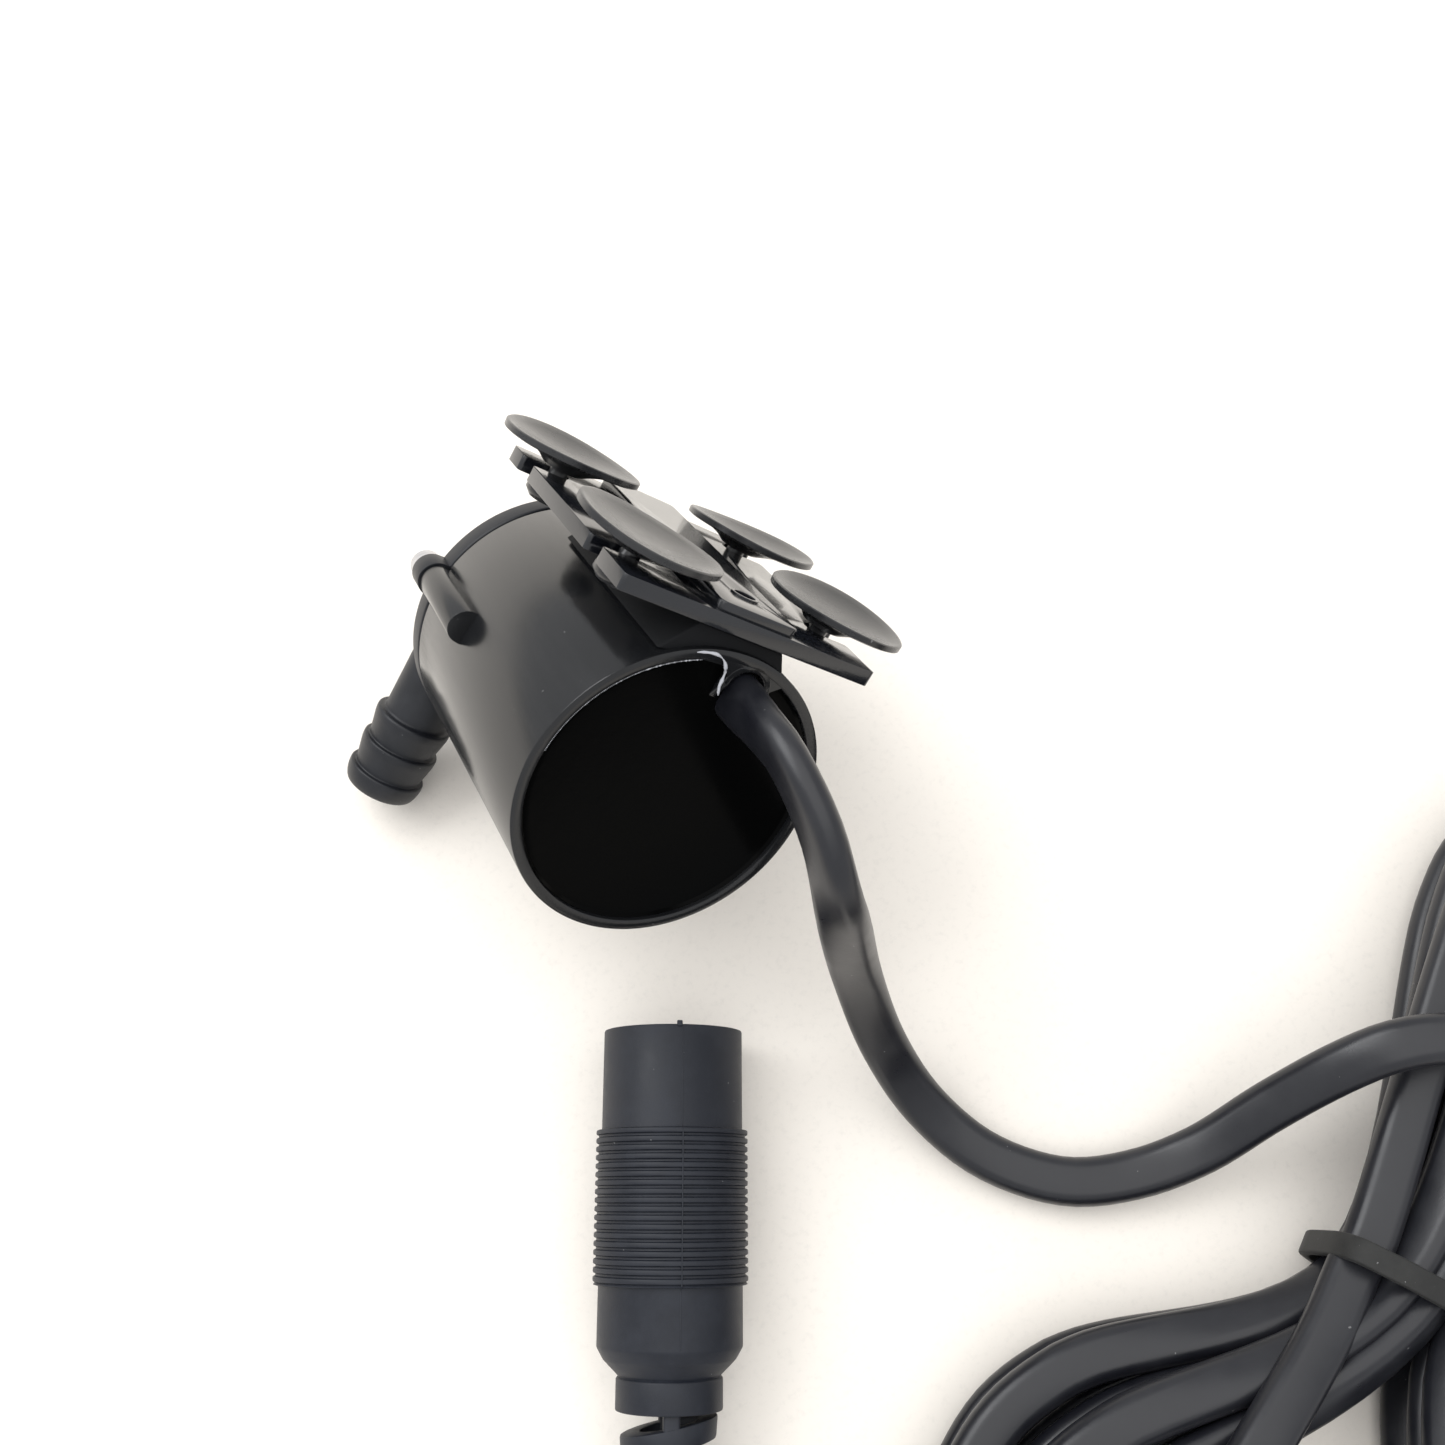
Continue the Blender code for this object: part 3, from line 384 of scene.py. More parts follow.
FINISHES = {
    "housing_plastic": Finish((0.007, 0.0075, 0.0085), (0.02, 0.021, 0.023), 0.35, 0.13, 0.14,
                              5200, 7.0e-6, 0.01, specular=0.5, lines=(1.0, 0.12, 1.0)),
    "cover_plastic": Finish((0.008, 0.009, 0.012), (0.03, 0.032, 0.038), 0.4, 0.38, 0.14,
                            4600, 2.0e-5, 0.01, specular=0.4),
    "plate_plastic": Finish((0.007, 0.008, 0.011), (0.03, 0.031, 0.033), 0.2, 0.1, 0.14,
                            1500, 1.6e-5, 0.01, coat=0.3, specular=0.5),
    "potting_epoxy": Finish((0.0016, 0.0017, 0.0017), (0.004, 0.004, 0.004), 0.1, 0.12, 0.1,
                            900, 1.0e-5, 0.008, specular=0.03),
    # Darker, duller copy of the housing plastic for the saddle pad and rail: painted shade under
    # the plate.
    "pad_plastic_painted_shade": Finish((0.006, 0.0065, 0.0075), (0.012, 0.0125, 0.014), 0.3, 0.62, 0.1,
                          4200, 1.2e-5, 0.01, specular=0.16),
    "cup_rubber": Finish((0.012, 0.0125, 0.014), (0.05, 0.05, 0.049), 0.4, 0.2, 0.18,
                         3000, 1.6e-5, 0.03, specular=0.5, sheen=0.03),
    "cord_sheath": Finish((0.009, 0.0095, 0.013), (0.025, 0.026, 0.03), 0.35, 0.27, 0.14,
                          4200, 1.0e-5, 0.015, specular=0.5),
    "tie_rubber": Finish((0.016, 0.016, 0.0155), (0.05, 0.05, 0.047), 0.45, 0.55, 0.16,
                         6500, 2.5e-5, 0.04, specular=0.3, sheen=0.04),
    "connector_plastic": Finish((0.009, 0.011, 0.017), (0.03, 0.034, 0.045), 0.4, 0.45, 0.14,
                                7000, 2.2e-5, 0.008, specular=0.35),
    "insert_plastic": Finish((0.012, 0.012, 0.013), (0.04, 0.04, 0.042), 0.3, 0.4, 0.15,
                             5000, 1.2e-5),
    "contact_brass": Finish((0.78, 0.6, 0.3), (0.42, 0.3, 0.14), 0.4, 0.22, 0.15, 9000, 5e-6,
                            metallic=1.0),
    "screw_steel": Finish((0.6, 0.6, 0.62), (0.3, 0.29, 0.28), 0.35, 0.25, 0.2, 12000, 6e-6,
                          metallic=1.0, lines=(1.0, 6.0, 1.0)),
    "stator_iron": Finish((0.34, 0.34, 0.36), (0.12, 0.1, 0.09), 0.5, 0.4, 0.2, 9000, 2e-5,
                          metallic=1.0, lines=(0.2, 4.0, 0.2)),
    "rotor_ferrite": Finish((0.06, 0.06, 0.064), (0.11, 0.11, 0.11), 0.4, 0.45, 0.2, 8000, 1.5e-5),
    "impeller_plastic": Finish((0.74, 0.74, 0.7), (0.55, 0.53, 0.47), 0.3, 0.35, 0.15, 3500, 1e-5),
    "ceramic": Finish((0.82, 0.82, 0.8), (0.65, 0.65, 0.62), 0.3, 0.16, 0.1, 9000, 3e-6),
    "bush_rubber": Finish((0.024, 0.024, 0.024), (0.07, 0.07, 0.068), 0.4, 0.5, 0.2, 7000, 2e-5),
    "chip_epoxy": Finish((0.018, 0.018, 0.02), (0.05, 0.05, 0.05), 0.3, 0.48, 0.15, 12000, 1e-5),
    # Pale glossy glue: on the rim it is partly real glue and partly a painted highlight, and its
    # specks are painted glints.
    "glue_and_painted_highlight": Finish((0.55, 0.56, 0.6), (0.2, 0.21, 0.24), 0.6, 0.12, 0.1, 4000, 1e-5, coat=0.5),
}


def moulded(name: str, finish: Finish) -> bpy.types.Material:
    """A material with colour change, wear, specks, varied gloss and fine relief.

    Args:
        name: the material's name.
        finish: the values it takes.

    Returns:
        bpy.types.Material: the material.
    """
    made = Surface(name)
    where = made.stretched(finish.lines)
    broad = made.grain(finish.grain / 22, 4.0, 0.6, where)
    fine = made.grain(finish.grain, 3.0, 0.6, where)
    worn = made.ramp(broad, 0.42, 0.78) * finish.wear
    colour = made.blend(worn, (*finish.colour, 1), (*finish.worn, 1))
    if finish.specks:
        dust = made.grain(finish.grain / 3.2, 2.0, 0.5).above(0.79 - finish.specks)
        colour = made.blend(dust * 0.45, colour, (0.3, 0.3, 0.3, 1))
    rough = finish.roughness + made.ramp(broad, 0.3, 0.75) * finish.spread + (fine - 0.5) * 0.06
    made.set(Base_Color=colour, Roughness=rough)
    made.bump(fine * 0.6 + broad * 0.4, finish.depth)
    made.fix(
        Metallic=finish.metallic, Coat_Weight=finish.coat,
        Specular_IOR_Level=finish.specular, Sheen_Weight=finish.sheen,
    )
    return made.material


def circuit_board() -> bpy.types.Material:
    """Green solder resist with paler tracks.

    Returns:
        bpy.types.Material: the material.
    """
    made = Surface("circuit_board")
    tracks = made.node(
        "TexBrick", output="Fac", Vector=made.stretched((600, 600, 600)), Scale=1.0,
        Mortar_Size=0.06,
    )
    cloud = made.grain(900)
    green = made.blend(cloud, (0.012, 0.09, 0.035, 1), (0.02, 0.16, 0.06, 1))
    made.set(Base_Color=made.blend(tracks * 0.5, green, (0.1, 0.3, 0.14, 1)))
    made.set(Roughness=0.32 + cloud * 0.2)
    made.bump(tracks, 2e-5)
    return made.material


def wound_copper() -> bpy.types.Material:
    """Enamelled copper wire in close turns.

    Returns:
        bpy.types.Material: the material.
    """
    made = Surface("coil_copper")
    turns = made.node(
        "TexWave", {"wave_type": "BANDS"}, "Fac", Vector=made.stretched((1, 1, 1), (0.5, 0.8, 0.2)),
        Scale=900.0, Distortion=1.2, Detail=1.0,
    )
    made.set(Base_Color=made.blend(turns, (0.2, 0.06, 0.02, 1), (0.72, 0.3, 0.12, 1)))
    made.set(Roughness=0.22 + (1 - turns) * 0.3)
    made.fix(Metallic=1.0)
    made.bump(turns, 8e-5)
    return made.material


def table_top() -> bpy.types.Material:
    """Pale, slightly speckled table.

    Returns:
        bpy.types.Material: the material.
    """
    made = Surface("table_top")
    painted_glint = made.grain(1300, 4.0, 0.7)
    cloud = made.grain(16, 3.0)
    pale = made.blend(cloud, (0.93, 0.88, 0.81, 1), (0.9, 0.845, 0.77, 1))
    made.set(Base_Color=made.blend(made.ramp(painted_glint, 0.52, 0.75) * 0.25, pale, (0.68, 0.65, 0.6, 1)))
    made.set(Roughness=0.55 + painted_glint * 0.2)
    made.bump(painted_glint, 4e-5, 0.5)
    return made.material


class Shelf:
    """Materials, made when first asked for."""

    def __init__(self) -> None:
        """Starts with the two that need more than a finish."""
        self.made = {"circuit_board": circuit_board(), "coil_copper": wound_copper()}

    def take(self, name: str) -> bpy.types.Material:
        """Finds a material, and makes it the first time.

        Args:
            name: its name, a key of FINISHES or one made by hand.

        Returns:
            bpy.types.Material: the material.
        """
        if name not in self.made:
            self.made[name] = moulded(name, FINISHES[name])
        return self.made[name]


SHELF = Shelf()


# ---------------------------------------------------------------- shape work

def arc(centre: Pair, radius: float, start: float, end: float, steps: int) -> Outline:
    """Points on an arc, both ends included.

    Args:
        centre: its centre.
        radius: its radius.
        start: angle of the first point.
        end: angle of the last point.
        steps: segments between them.

    Returns:
        Outline: the points.
    """
    turns = [start + (end - start) * k / steps for k in range(steps + 1)]
    return [(centre[0] + radius * math.cos(a), centre[1] + radius * math.sin(a)) for a in turns]


def eased(outline: Outline, radius: float, steps: int = 4) -> Outline:
    """An outline with each corner eased to a small curve.

    Args:
        outline: points, as pairs.
        radius: how far back from a corner the curve starts.
        steps: segments for each corner.

    Returns:
        Outline: the eased outline.
    """
    points = [Vector(p) for p in outline]
    out = []
    for k, here in enumerate(points):
        before, after = points[k - 1], points[(k + 1) % len(points)]
        back, on = before - here, after - here
        reach = min(radius, back.length * 0.45, on.length * 0.45)
        first, last = here + back.normalized() * reach, here + on.normalized() * reach
        for s in range(steps + 1):
            t = s / steps
            out.append(tuple((1 - t) ** 2 * first + 2 * t * (1 - t) * here + t * t * last))
    return out


def turned(outline: Outline, axis: Axis = Axis.Y, segments: int = 96) -> Solid:
    """A closed outline turned about an axis.

    Args:
        outline: (radius, height) pairs.
        axis: the axis that it is turned about.
        segments: steps round it.

    Returns:
        Solid: the turned solid.
    """
    bm = bmesh.new()
    spot = (lambda r, h: (r, h, 0)) if axis is Axis.Y else (lambda r, h: (r, 0, h))
    points = [bm.verts.new(spot(max(r, 0.0), h)) for r, h in outline]
    edges = []
    for start, end in zip(points, points[1:] + points[:1]):
        if max(start.co.x, end.co.x) > 1e-9:
            edges.append(bm.edges.new((start, end)))
    direction = (0, 1, 0) if axis is Axis.Y else (0, 0, 1)
    bmesh.ops.spin(
        bm, geom=points + edges, cent=(0, 0, 0), axis=direction, steps=segments, angle=FULL,
        use_merge=True,
    )
    bmesh.ops.remove_doubles(bm, verts=bm.verts, dist=1e-5)
    return bm


def prism(
    outline: Outline, low: float, high: float, axis: Axis = Axis.Z, bevel: float = 0.0,
    holes: list[Outline] | tuple = (),
) -> Solid:
    """An outline extruded along an axis, with its sharp edges bevelled.

    Args:
        outline: pairs in the plane across the axis.
        low: where it starts.
        high: where it ends.
        axis: the axis it runs along.
        bevel: width of the edge bevel.
        holes: outlines of holes through it.

    Returns:
        Solid: the extruded solid.
    """
    bm = bmesh.new()
    spot = (lambda a, b: (a, b, low)) if axis is Axis.Z else (lambda a, b: (a, low, b))
    edges = []
    for ring in (outline, *holes):
        verts = [bm.verts.new(spot(a, b)) for a, b in ring]
        edges += [bm.edges.new(pair) for pair in zip(verts, verts[1:] + verts[:1])]
    bmesh.ops.triangle_fill(bm, edges=edges, use_beauty=True)
    bmesh.ops.dissolve_limit(bm, angle_limit=0.01, verts=bm.verts, edges=bm.edges)
    grown = bmesh.ops.extrude_face_region(bm, geom=bm.faces[:])
    lift = Vector((0, high - low, 0)) if axis is Axis.Y else Vector((0, 0, high - low))
    top = [item for item in grown["geom"] if isinstance(item, bmesh.types.BMVert)]
    bmesh.ops.translate(bm, vec=lift, verts=top)
    bmesh.ops.recalc_face_normals(bm, faces=bm.faces)
    if bevel:
        rims = [e for e in bm.edges if len(e.link_faces) == 2 and e.calc_face_angle(0) > 0.6]
        bmesh.ops.bevel(
            bm, geom=rims, offset=bevel, segments=3, profile=0.5, affect="EDGES",
            clamp_overlap=True,
        )
    return bm


def box(low: Triple, high: Triple, bevel: float = 0.2) -> Solid:
    """A box between two corners, with eased edges."""
    outline = [(low[0], low[1]), (high[0], low[1]), (high[0], high[1]), (low[0], high[1])]
    return prism(outline, low[2], high[2], Axis.Z, bevel)


def moved(bm: Solid, offset: Triple = (0, 0, 0), turn: float = 0.0) -> Solid:
    """Turns a mesh about the second axis, then shifts it.

    Args:
        bm: the mesh, which is changed.
        offset: the shift.
        turn: the angle.

    Returns:
        Solid: the same mesh.
    """
    if turn:
        bmesh.ops.rotate(bm, matrix=Matrix.Rotation(turn, 3, "Y"), verts=bm.verts)
    bmesh.ops.translate(bm, vec=offset, verts=bm.verts)
    return bm


def ring_outline(radius: float, ellipse: float, steps: int) -> Outline:
    """Works out a closed ellipse.

    Args:
        radius: half its height.
        ellipse: how many times as wide as high it is.
        steps: points round it.

    Returns:
        Outline: the points.
    """
    return [
        (radius * ellipse * math.cos(FULL * k / steps), radius * math.sin(FULL * k / steps))
        for k in range(steps)
    ]


def stadium(centre: Pair, radius: float, spread: float, steps: int = 12) -> Outline:
    """A slot outline with one round end at the centre and the other a spread along."""
    first = arc(centre, radius, math.pi, FULL, steps)
    return first + arc((centre[0], centre[1] + spread), radius, 0, math.pi, steps)


def smooth_path(points: list[Vector], step: float) -> list[Vector]:
    """Points a step apart on a smooth curve through the given ones.

    Args:
        points: the points to pass through.
        step: the distance between the new ones.

    Returns:
        list[Vector]: the new points.
    """
    points = [Vector(p) for p in points]
    ends = [2 * points[0] - points[1]] + points + [2 * points[-1] - points[-2]]
    fine = []
    for a, b, c, d in zip(ends, ends[1:], ends[2:], ends[3:]):
        for k in range(10):
            t = k / 10
            fine.append(0.5 * (
                2 * b + (c - a) * t + (2 * a - 5 * b + 4 * c - d) * t * t
                + (3 * b - a - 3 * c + d) * t ** 3
            ))
    fine.append(points[-1])
    out, left = [fine[0]], step
    for before, after in zip(fine, fine[1:]):
        span = (after - before).length
        gone = 0.0
        while span - gone >= left:
            gone += left
            out.append(before.lerp(after, gone / span))
            left = step
        left -= span - gone
    if (fine[-1] - out[-1]).length > step / 3:
        out.append(fine[-1])
    return out


def place_piece(
    name: str, meshes: list[Solid], body: str, finish: str, replaces: tuple[str, ...] = (),
    axes: Matrix | None = None, angle: float = 35,
) -> bpy.types.Object:
    """Joins meshes into one piece of the object and rides it on a body.

    Args:
        name: the piece's name.
        meshes: bmesh solids in millimetres.
        body: the body's name.
        finish: the name of its material.
        replaces: CAD nodes that it stands for.
        axes: matrix from its own axes to the frame, in millimetres.
        angle: edges sharper than this many degrees stay sharp.

    Returns:
        bpy.types.Object: the piece.
    """
    joined = bmesh.new()
    for bm in meshes:
        part = bpy.data.meshes.new("part")
        bmesh.ops.recalc_face_normals(bm, faces=bm.faces)
        bm.to_mesh(part)
        bm.free()
        joined.from_mesh(part)
        bpy.data.meshes.remove(part)
    if axes:
        joined.transform(axes)
    joined.transform(Matrix.Scale(MM, 4))
    mesh = bpy.data.meshes.new(name)
    joined.to_mesh(mesh)
    joined.free()
    mesh.shade_smooth()
    mesh.set_sharp_from_angle(angle=math.radians(angle))
    obj = bpy.data.objects.new(name, mesh)
    bpy.context.scene.collection.objects.link(obj)
    obj.data.materials.append(SHELF.take(finish))
    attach(obj, body)
    if replaces:
        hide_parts(*replaces)
    LOG.info("%s: %d faces on %s", name, len(mesh.polygons), body)
    return obj


# ---------------------------------------------------------------- camera and light

@dataclass
class Studio:
    """Camera, table and soft lights.

    Attributes:
        camera_offset: place of the camera from the pump's origin, in millimetres.
        tilt: angle that the camera looks up the table from straight down, in degrees.
        lens: its focal length.
    """

    camera_offset: Triple = (4.74, -34.72, 121.35)
    tilt: float = 19.0
    lens: float = 34.73

    def build(self) -> None:
        """Makes the camera first, then the table and the lights."""
        scene = bpy.context.scene
        data = bpy.data.cameras.new("camera")
        data.lens, data.sensor_width = self.lens, 36.0
        data.clip_start = 0.005
        camera = bpy.data.objects.new("camera", data)
        camera.location = (PUMP.translation + Vector(self.camera_offset)) * MM
        camera.rotation_euler = (math.radians(self.tilt), 0, 0)
        scene.collection.objects.link(camera)
        scene.camera = camera
        scene.view_settings.view_transform = "Standard"
        self.table()
        self.light("window", (-0.35, 0.25, 0.5), (0.5, 0.35), 2.3, (0.98, 0.99, 1.0))
        self.light("ceiling", (0.1, 0.05, 1.1), (1.4, 1.4), 6.4, (1.0, 0.99, 0.97))
        world = bpy.data.worlds.new("room")
        world.use_nodes = True
        room = world.node_tree.nodes["Background"]
        room.inputs["Color"].default_value = (0.97, 0.98, 1.0, 1)
        room.inputs["Strength"].default_value = 0.88
        scene.world = world

    def table(self) -> None:
        """A flat table top with a fine grid of faces."""
        bm = bmesh.new()
        bmesh.ops.create_grid(bm, x_segments=8, y_segments=8, size=1.5)
        mesh = bpy.data.meshes.new("table")
        bm.to_mesh(mesh)
        bm.free()
        table = bpy.data.objects.new("table", mesh)
        table.location = (0.03, -0.03, -0.0002)
        mesh.materials.append(table_top())
        bpy.context.scene.collection.objects.link(table)

    def light(self, name: str, spot: Triple, size: Pair, power: float, colour: Triple) -> None:
        """Adds an area light that faces the object.

        Args:
            name: its name.
            spot: its place, in metres.
            size: its two sides, in metres.
            power: its power, in watts.
            colour: its colour.
        """
        data = bpy.data.lights.new(name, "AREA")
        data.shape = "RECTANGLE"
        data.size, data.size_y = size
        data.energy = power
        data.color = colour
        lamp = bpy.data.objects.new(name, data)
        lamp.location = spot
        lamp.rotation_euler = (-Vector(spot)).to_track_quat("-Z", "Y").to_euler()
        bpy.context.scene.collection.objects.link(lamp)


# ---------------------------------------------------------------- cord

SUPPLY_ARCH = ((3.7, -6.5, 4.0), (6.3, -12.3, 3.3), (8.1, -17.2, -1.7), (11.2, -20.8, -19.8))
SUPPLY_ROUTE = (
    (29.8, -33.2, 10.3), (34.5, -38.8, 4.5), (40.8, -43.7, 2.6), (48.5, -46.3, 2.6),
    (55.8, -45.8, 2.8), (62.8, -43.3, 4.7), (69.2, -39.1, 9.0), (74.9, -35.7, 14.0),
    (79.8, -33.8, 16.8), (85.4, -33.3, 17.2), (93.3, -33.9, 17.2), (101.2, -35.9, 17.2),
)


@dataclass
class FlatCord:
    """Flat two-core cord: lead, tied hank and tail, as one run.

    Attributes:
        turns: column and layer of each turn in the hank.
        radii: lobe radius of each column, lower and upper.
        columns: distance of each column from the middle of the waist.
        layer_rise: height of a layer of turns.
        tip: roll of the strands at the waist, in degrees.
        points: the run's points.
        rolls: the cord's roll at each of them, in degrees.
    """

    turns: tuple[tuple[int, int], ...] = (
        (2, 2), (2, 1), (2, 0), (1, 0), (1, 1), (0, 0), (0, 1), (1, 2), (0, 2),
    )
    radii: tuple[Pair, ...] = ((30.4, 25.4), (24.6, 20.4), (18.8, 15.4))
    columns: Triple = (9.0, 5.4, 1.8)
    layer_rise: float = 4.1
    tip: float = 52
    points: list[Vector] = field(default_factory=list)
    rolls: list[float] = field(default_factory=list)

    def level(self, layer: float) -> float:
        """Height of a layer's middle."""
        return HANK_BASE + 2.0 + layer * self.layer_rise

    def lobe(
        self, centre: Vector, side: int, here: tuple[int, int], there: tuple[int, int],
        middle: float,
    ) -> None:
        """Adds the points round one lobe, easing from one turn's place to the next's.

        Args:
            centre: the lobe's centre.
            side: 0 for the lower lobe, 1 for the upper.
            here: column and layer where it starts.
            there: column and layer where it ends.
            middle: angle left open on each side, towards the waist.
        """
        inward = math.atan2((HANK_WAIST - centre).y, (HANK_WAIST - centre).x)
        steps = 8
        for k in range(steps + 1):
            share = k / steps
            column = here[0] + (there[0] - here[0]) * share
            low, high = self.radii[int(column)], self.radii[min(int(column) + 1, 2)]
            radius = low[side] + (high[side] - low[side]) * (column - int(column))
            layer = here[1] + (there[1] - here[1]) * share
            turn = inward + middle + (FULL - 2 * middle) * share
            spot = centre + radius * Vector((math.cos(turn), math.sin(turn), 0))
            wander = noise.noise(Vector((turn, here[0] * 3.1 + side, here[1] * 2.3)))
            self.add(spot + Vector((0, 0, self.level(layer) + wander * 0.8)), 14 * wander)

    def add(self, point: "Triple | Vector", roll: float) -> None:
        """Adds one point of the route and the cord's roll there, in degrees."""
        self.points.append(Vector(point))
        self.rolls.append(roll)

    def waist(self, place: tuple[int, int], sign: int) -> None:
        """Adds the crossing of the waist.

        Args:
            place: the turn's column and layer.
            sign: the side of the waist, -1 or 1.
        """
        across = Vector((math.cos(TIE_ANGLE), math.sin(TIE_ANGLE), 0))
        spot = HANK_WAIST + across * sign * self.columns[place[0]] * (0.84 + 0.08 * place[1])
        tip = self.tip * (1 if (place[0] + place[1]) % 2 else -1)
        self.add(spot + Vector((0, 0, self.level(place[1]) - 0.4)), tip)

    def route(self) -> None:
        """Lays the whole run: lead, hank and tail."""
        mouth = Vector((COLLAR_X, EXIT_GAP, COLLAR_Z + COLLAR_SPREAD / 2))
        for run, roll in ((-3.2, 39), (0, 46), (4.0, 70)):
            self.add(PUMP @ (mouth + Vector((0, run, 0))), roll)
        start = PUMP @ mouth
        lead_rolls = (76, 72, 64, 36, 24, 14, 6, 0, -4, -8, -10, -8, -4, 0, 0, 0)
        arch = [start + Vector(step) for step in SUPPLY_ARCH]
        for point, roll in zip((*arch, *SUPPLY_ROUTE), lead_rolls):
            self.add(point, roll)
        first = self.turns[0]
        for turn, drop in ((-112, 4.2), (-80, 2.4), (-48, 1.0), (-16, 0.3), (16, 0), (48, 0),
                           (80, 0), (112, 0), (144, 0)):
            angle = math.radians(turn)
            radius = self.radii[first[0]][1] - (3.0 if turn < -100 else 0)
            spot = HANK_UPPER + radius * Vector((math.cos(angle), math.sin(angle), 0))
            self.add(spot + Vector((0, 0, self.level(first[1]) + drop)), 0)
        for here, there in zip(self.turns, self.turns[1:]):
            self.waist(here, -1)
            self.lobe(HANK_LOWER, 0, here, here, math.radians(64))
            self.waist(here, 1)
            self.lobe(HANK_UPPER, 1, here, there, math.radians(66))
        self.add((77.8, -49.0, 11.2), 10)
        self.add((74.9, -53.6, 11.2), 12)
        for point in ((69.6, -61.0, 12.8), (61.0, -70.8, 15.2), (50.6, -83.6, 16.6),
                      (42.6, -95.4, 16.4), (34.6, -105.6, 13.6), (26.0, -112.4, 8.0),
                      (17.0, -112.4, 5.0), (10.4, -106.0, 5.0), (8.3, -97.0, 6.6),
                      (8.1, -89.5, 7.5)):
            self.add(point, 0)
        self.add((CONNECTOR_X, CONNECTOR_Y - CONNECTOR_LENGTH + 1.0, CONNECTOR_Z), 0)

    def section(self) -> Outline:
        """Works out the flat two-core section, with a faint valley between the cores.

        Returns:
            Outline: points round it.
        """
        half, core = CORD_WIDTH / 2, CORD_THICKNESS / 2
        offset = half - core
        out = []
        for k in range(CORD_SIDES):
            turn = FULL * k / CORD_SIDES
            x = core * math.cos(turn) + offset * math.tanh(3 * math.cos(turn))
            y = core * math.sin(turn) * (1 - 0.09 * math.exp(-((x / 0.55) ** 2)))
            out.append((x, y))
        return out

    def build(self) -> tuple[bpy.types.Object, list[Triple]]:
        """Makes the cord.

        Returns:
            tuple: the piece, and its centre line in metres.
        """
        self.route()
        lift = [Vector((*p, 0)) for p in self.points]
        carried = [Vector((p.x, p.y, p.z, math.radians(r))) for p, r in zip(lift, self.rolls)]
        line = smooth_path(carried, CORD_RING_STEP)
        path = [Vector(p[:3]) for p in line]
        section = self.section()
        bm = bmesh.new()
        rings = []
        for k, spot in enumerate(line):
            along = (path[min(k + 1, len(path) - 1)] - path[max(k - 1, 0)]).normalized()
            level = Vector((0, 0, 1)).cross(along)
            level = level.normalized() if level.length > 1e-6 else Vector((1, 0, 0))
            rise = along.cross(level)
            wide = math.cos(spot[3]) * level + math.sin(spot[3]) * rise
            tall = along.cross(wide)
            rings.append([bm.verts.new(path[k] + wide * x + tall * y) for x, y in section])
        for first, second in zip(rings, rings[1:]):
            for k in range(len(section)):
                after = (k + 1) % len(section)
                bm.faces.new((first[k], first[after], second[after], second[k]))
        bm.faces.new(rings[0][::-1])
        bm.faces.new(rings[-1])
        cord = place_piece(
            "flat_cord", [bm], Body.PUMP.value, "cord_sheath",
            ("supply_cord", "cord_hank", "tail_cord"), angle=60,
        )
        run = sum((b - a).length for a, b in zip(path, path[1:])) * MM
        LOG.info("cord run %.3f m in %d turns", run, len(self.turns) - 1)
        return cord, [tuple(p * MM) for p in path]

# ---------------------------------------------------------------- pump shells

def boss_outline(radius: float) -> Outline:
    """Works out a D-shaped boss section with flared sides, pointing along the first axis.

    Args:
        radius: of its round side.

    Returns:
        Outline: the section.
    """
    side = [(14.1, 2.2), (14.7, radius + 0.05)]
    face = arc((BOSS_DISTANCE - 0.1, 0), radius, -math.pi / 2, math.pi / 2, 14)
    return eased([(a, -b) for a, b in side] + face + side[::-1], 0.3, 3)


def bosses(radius: float, low: float, high: float, bevel: float = 0.25) -> list[Solid]:
    """The two bosses, or the two lobes of the cover that meet them.

    Args:
        radius: of their round side.
        low: where they start along the pump.
        high: where they end.
        bevel: width of the edge bevel.

    Returns:
        list[Solid]: the two solids.
    """
    return [
        moved(prism(boss_outline(radius), low, high, Axis.Y, bevel), turn=-angle)
        for angle in BOSS_ANGLES
    ]


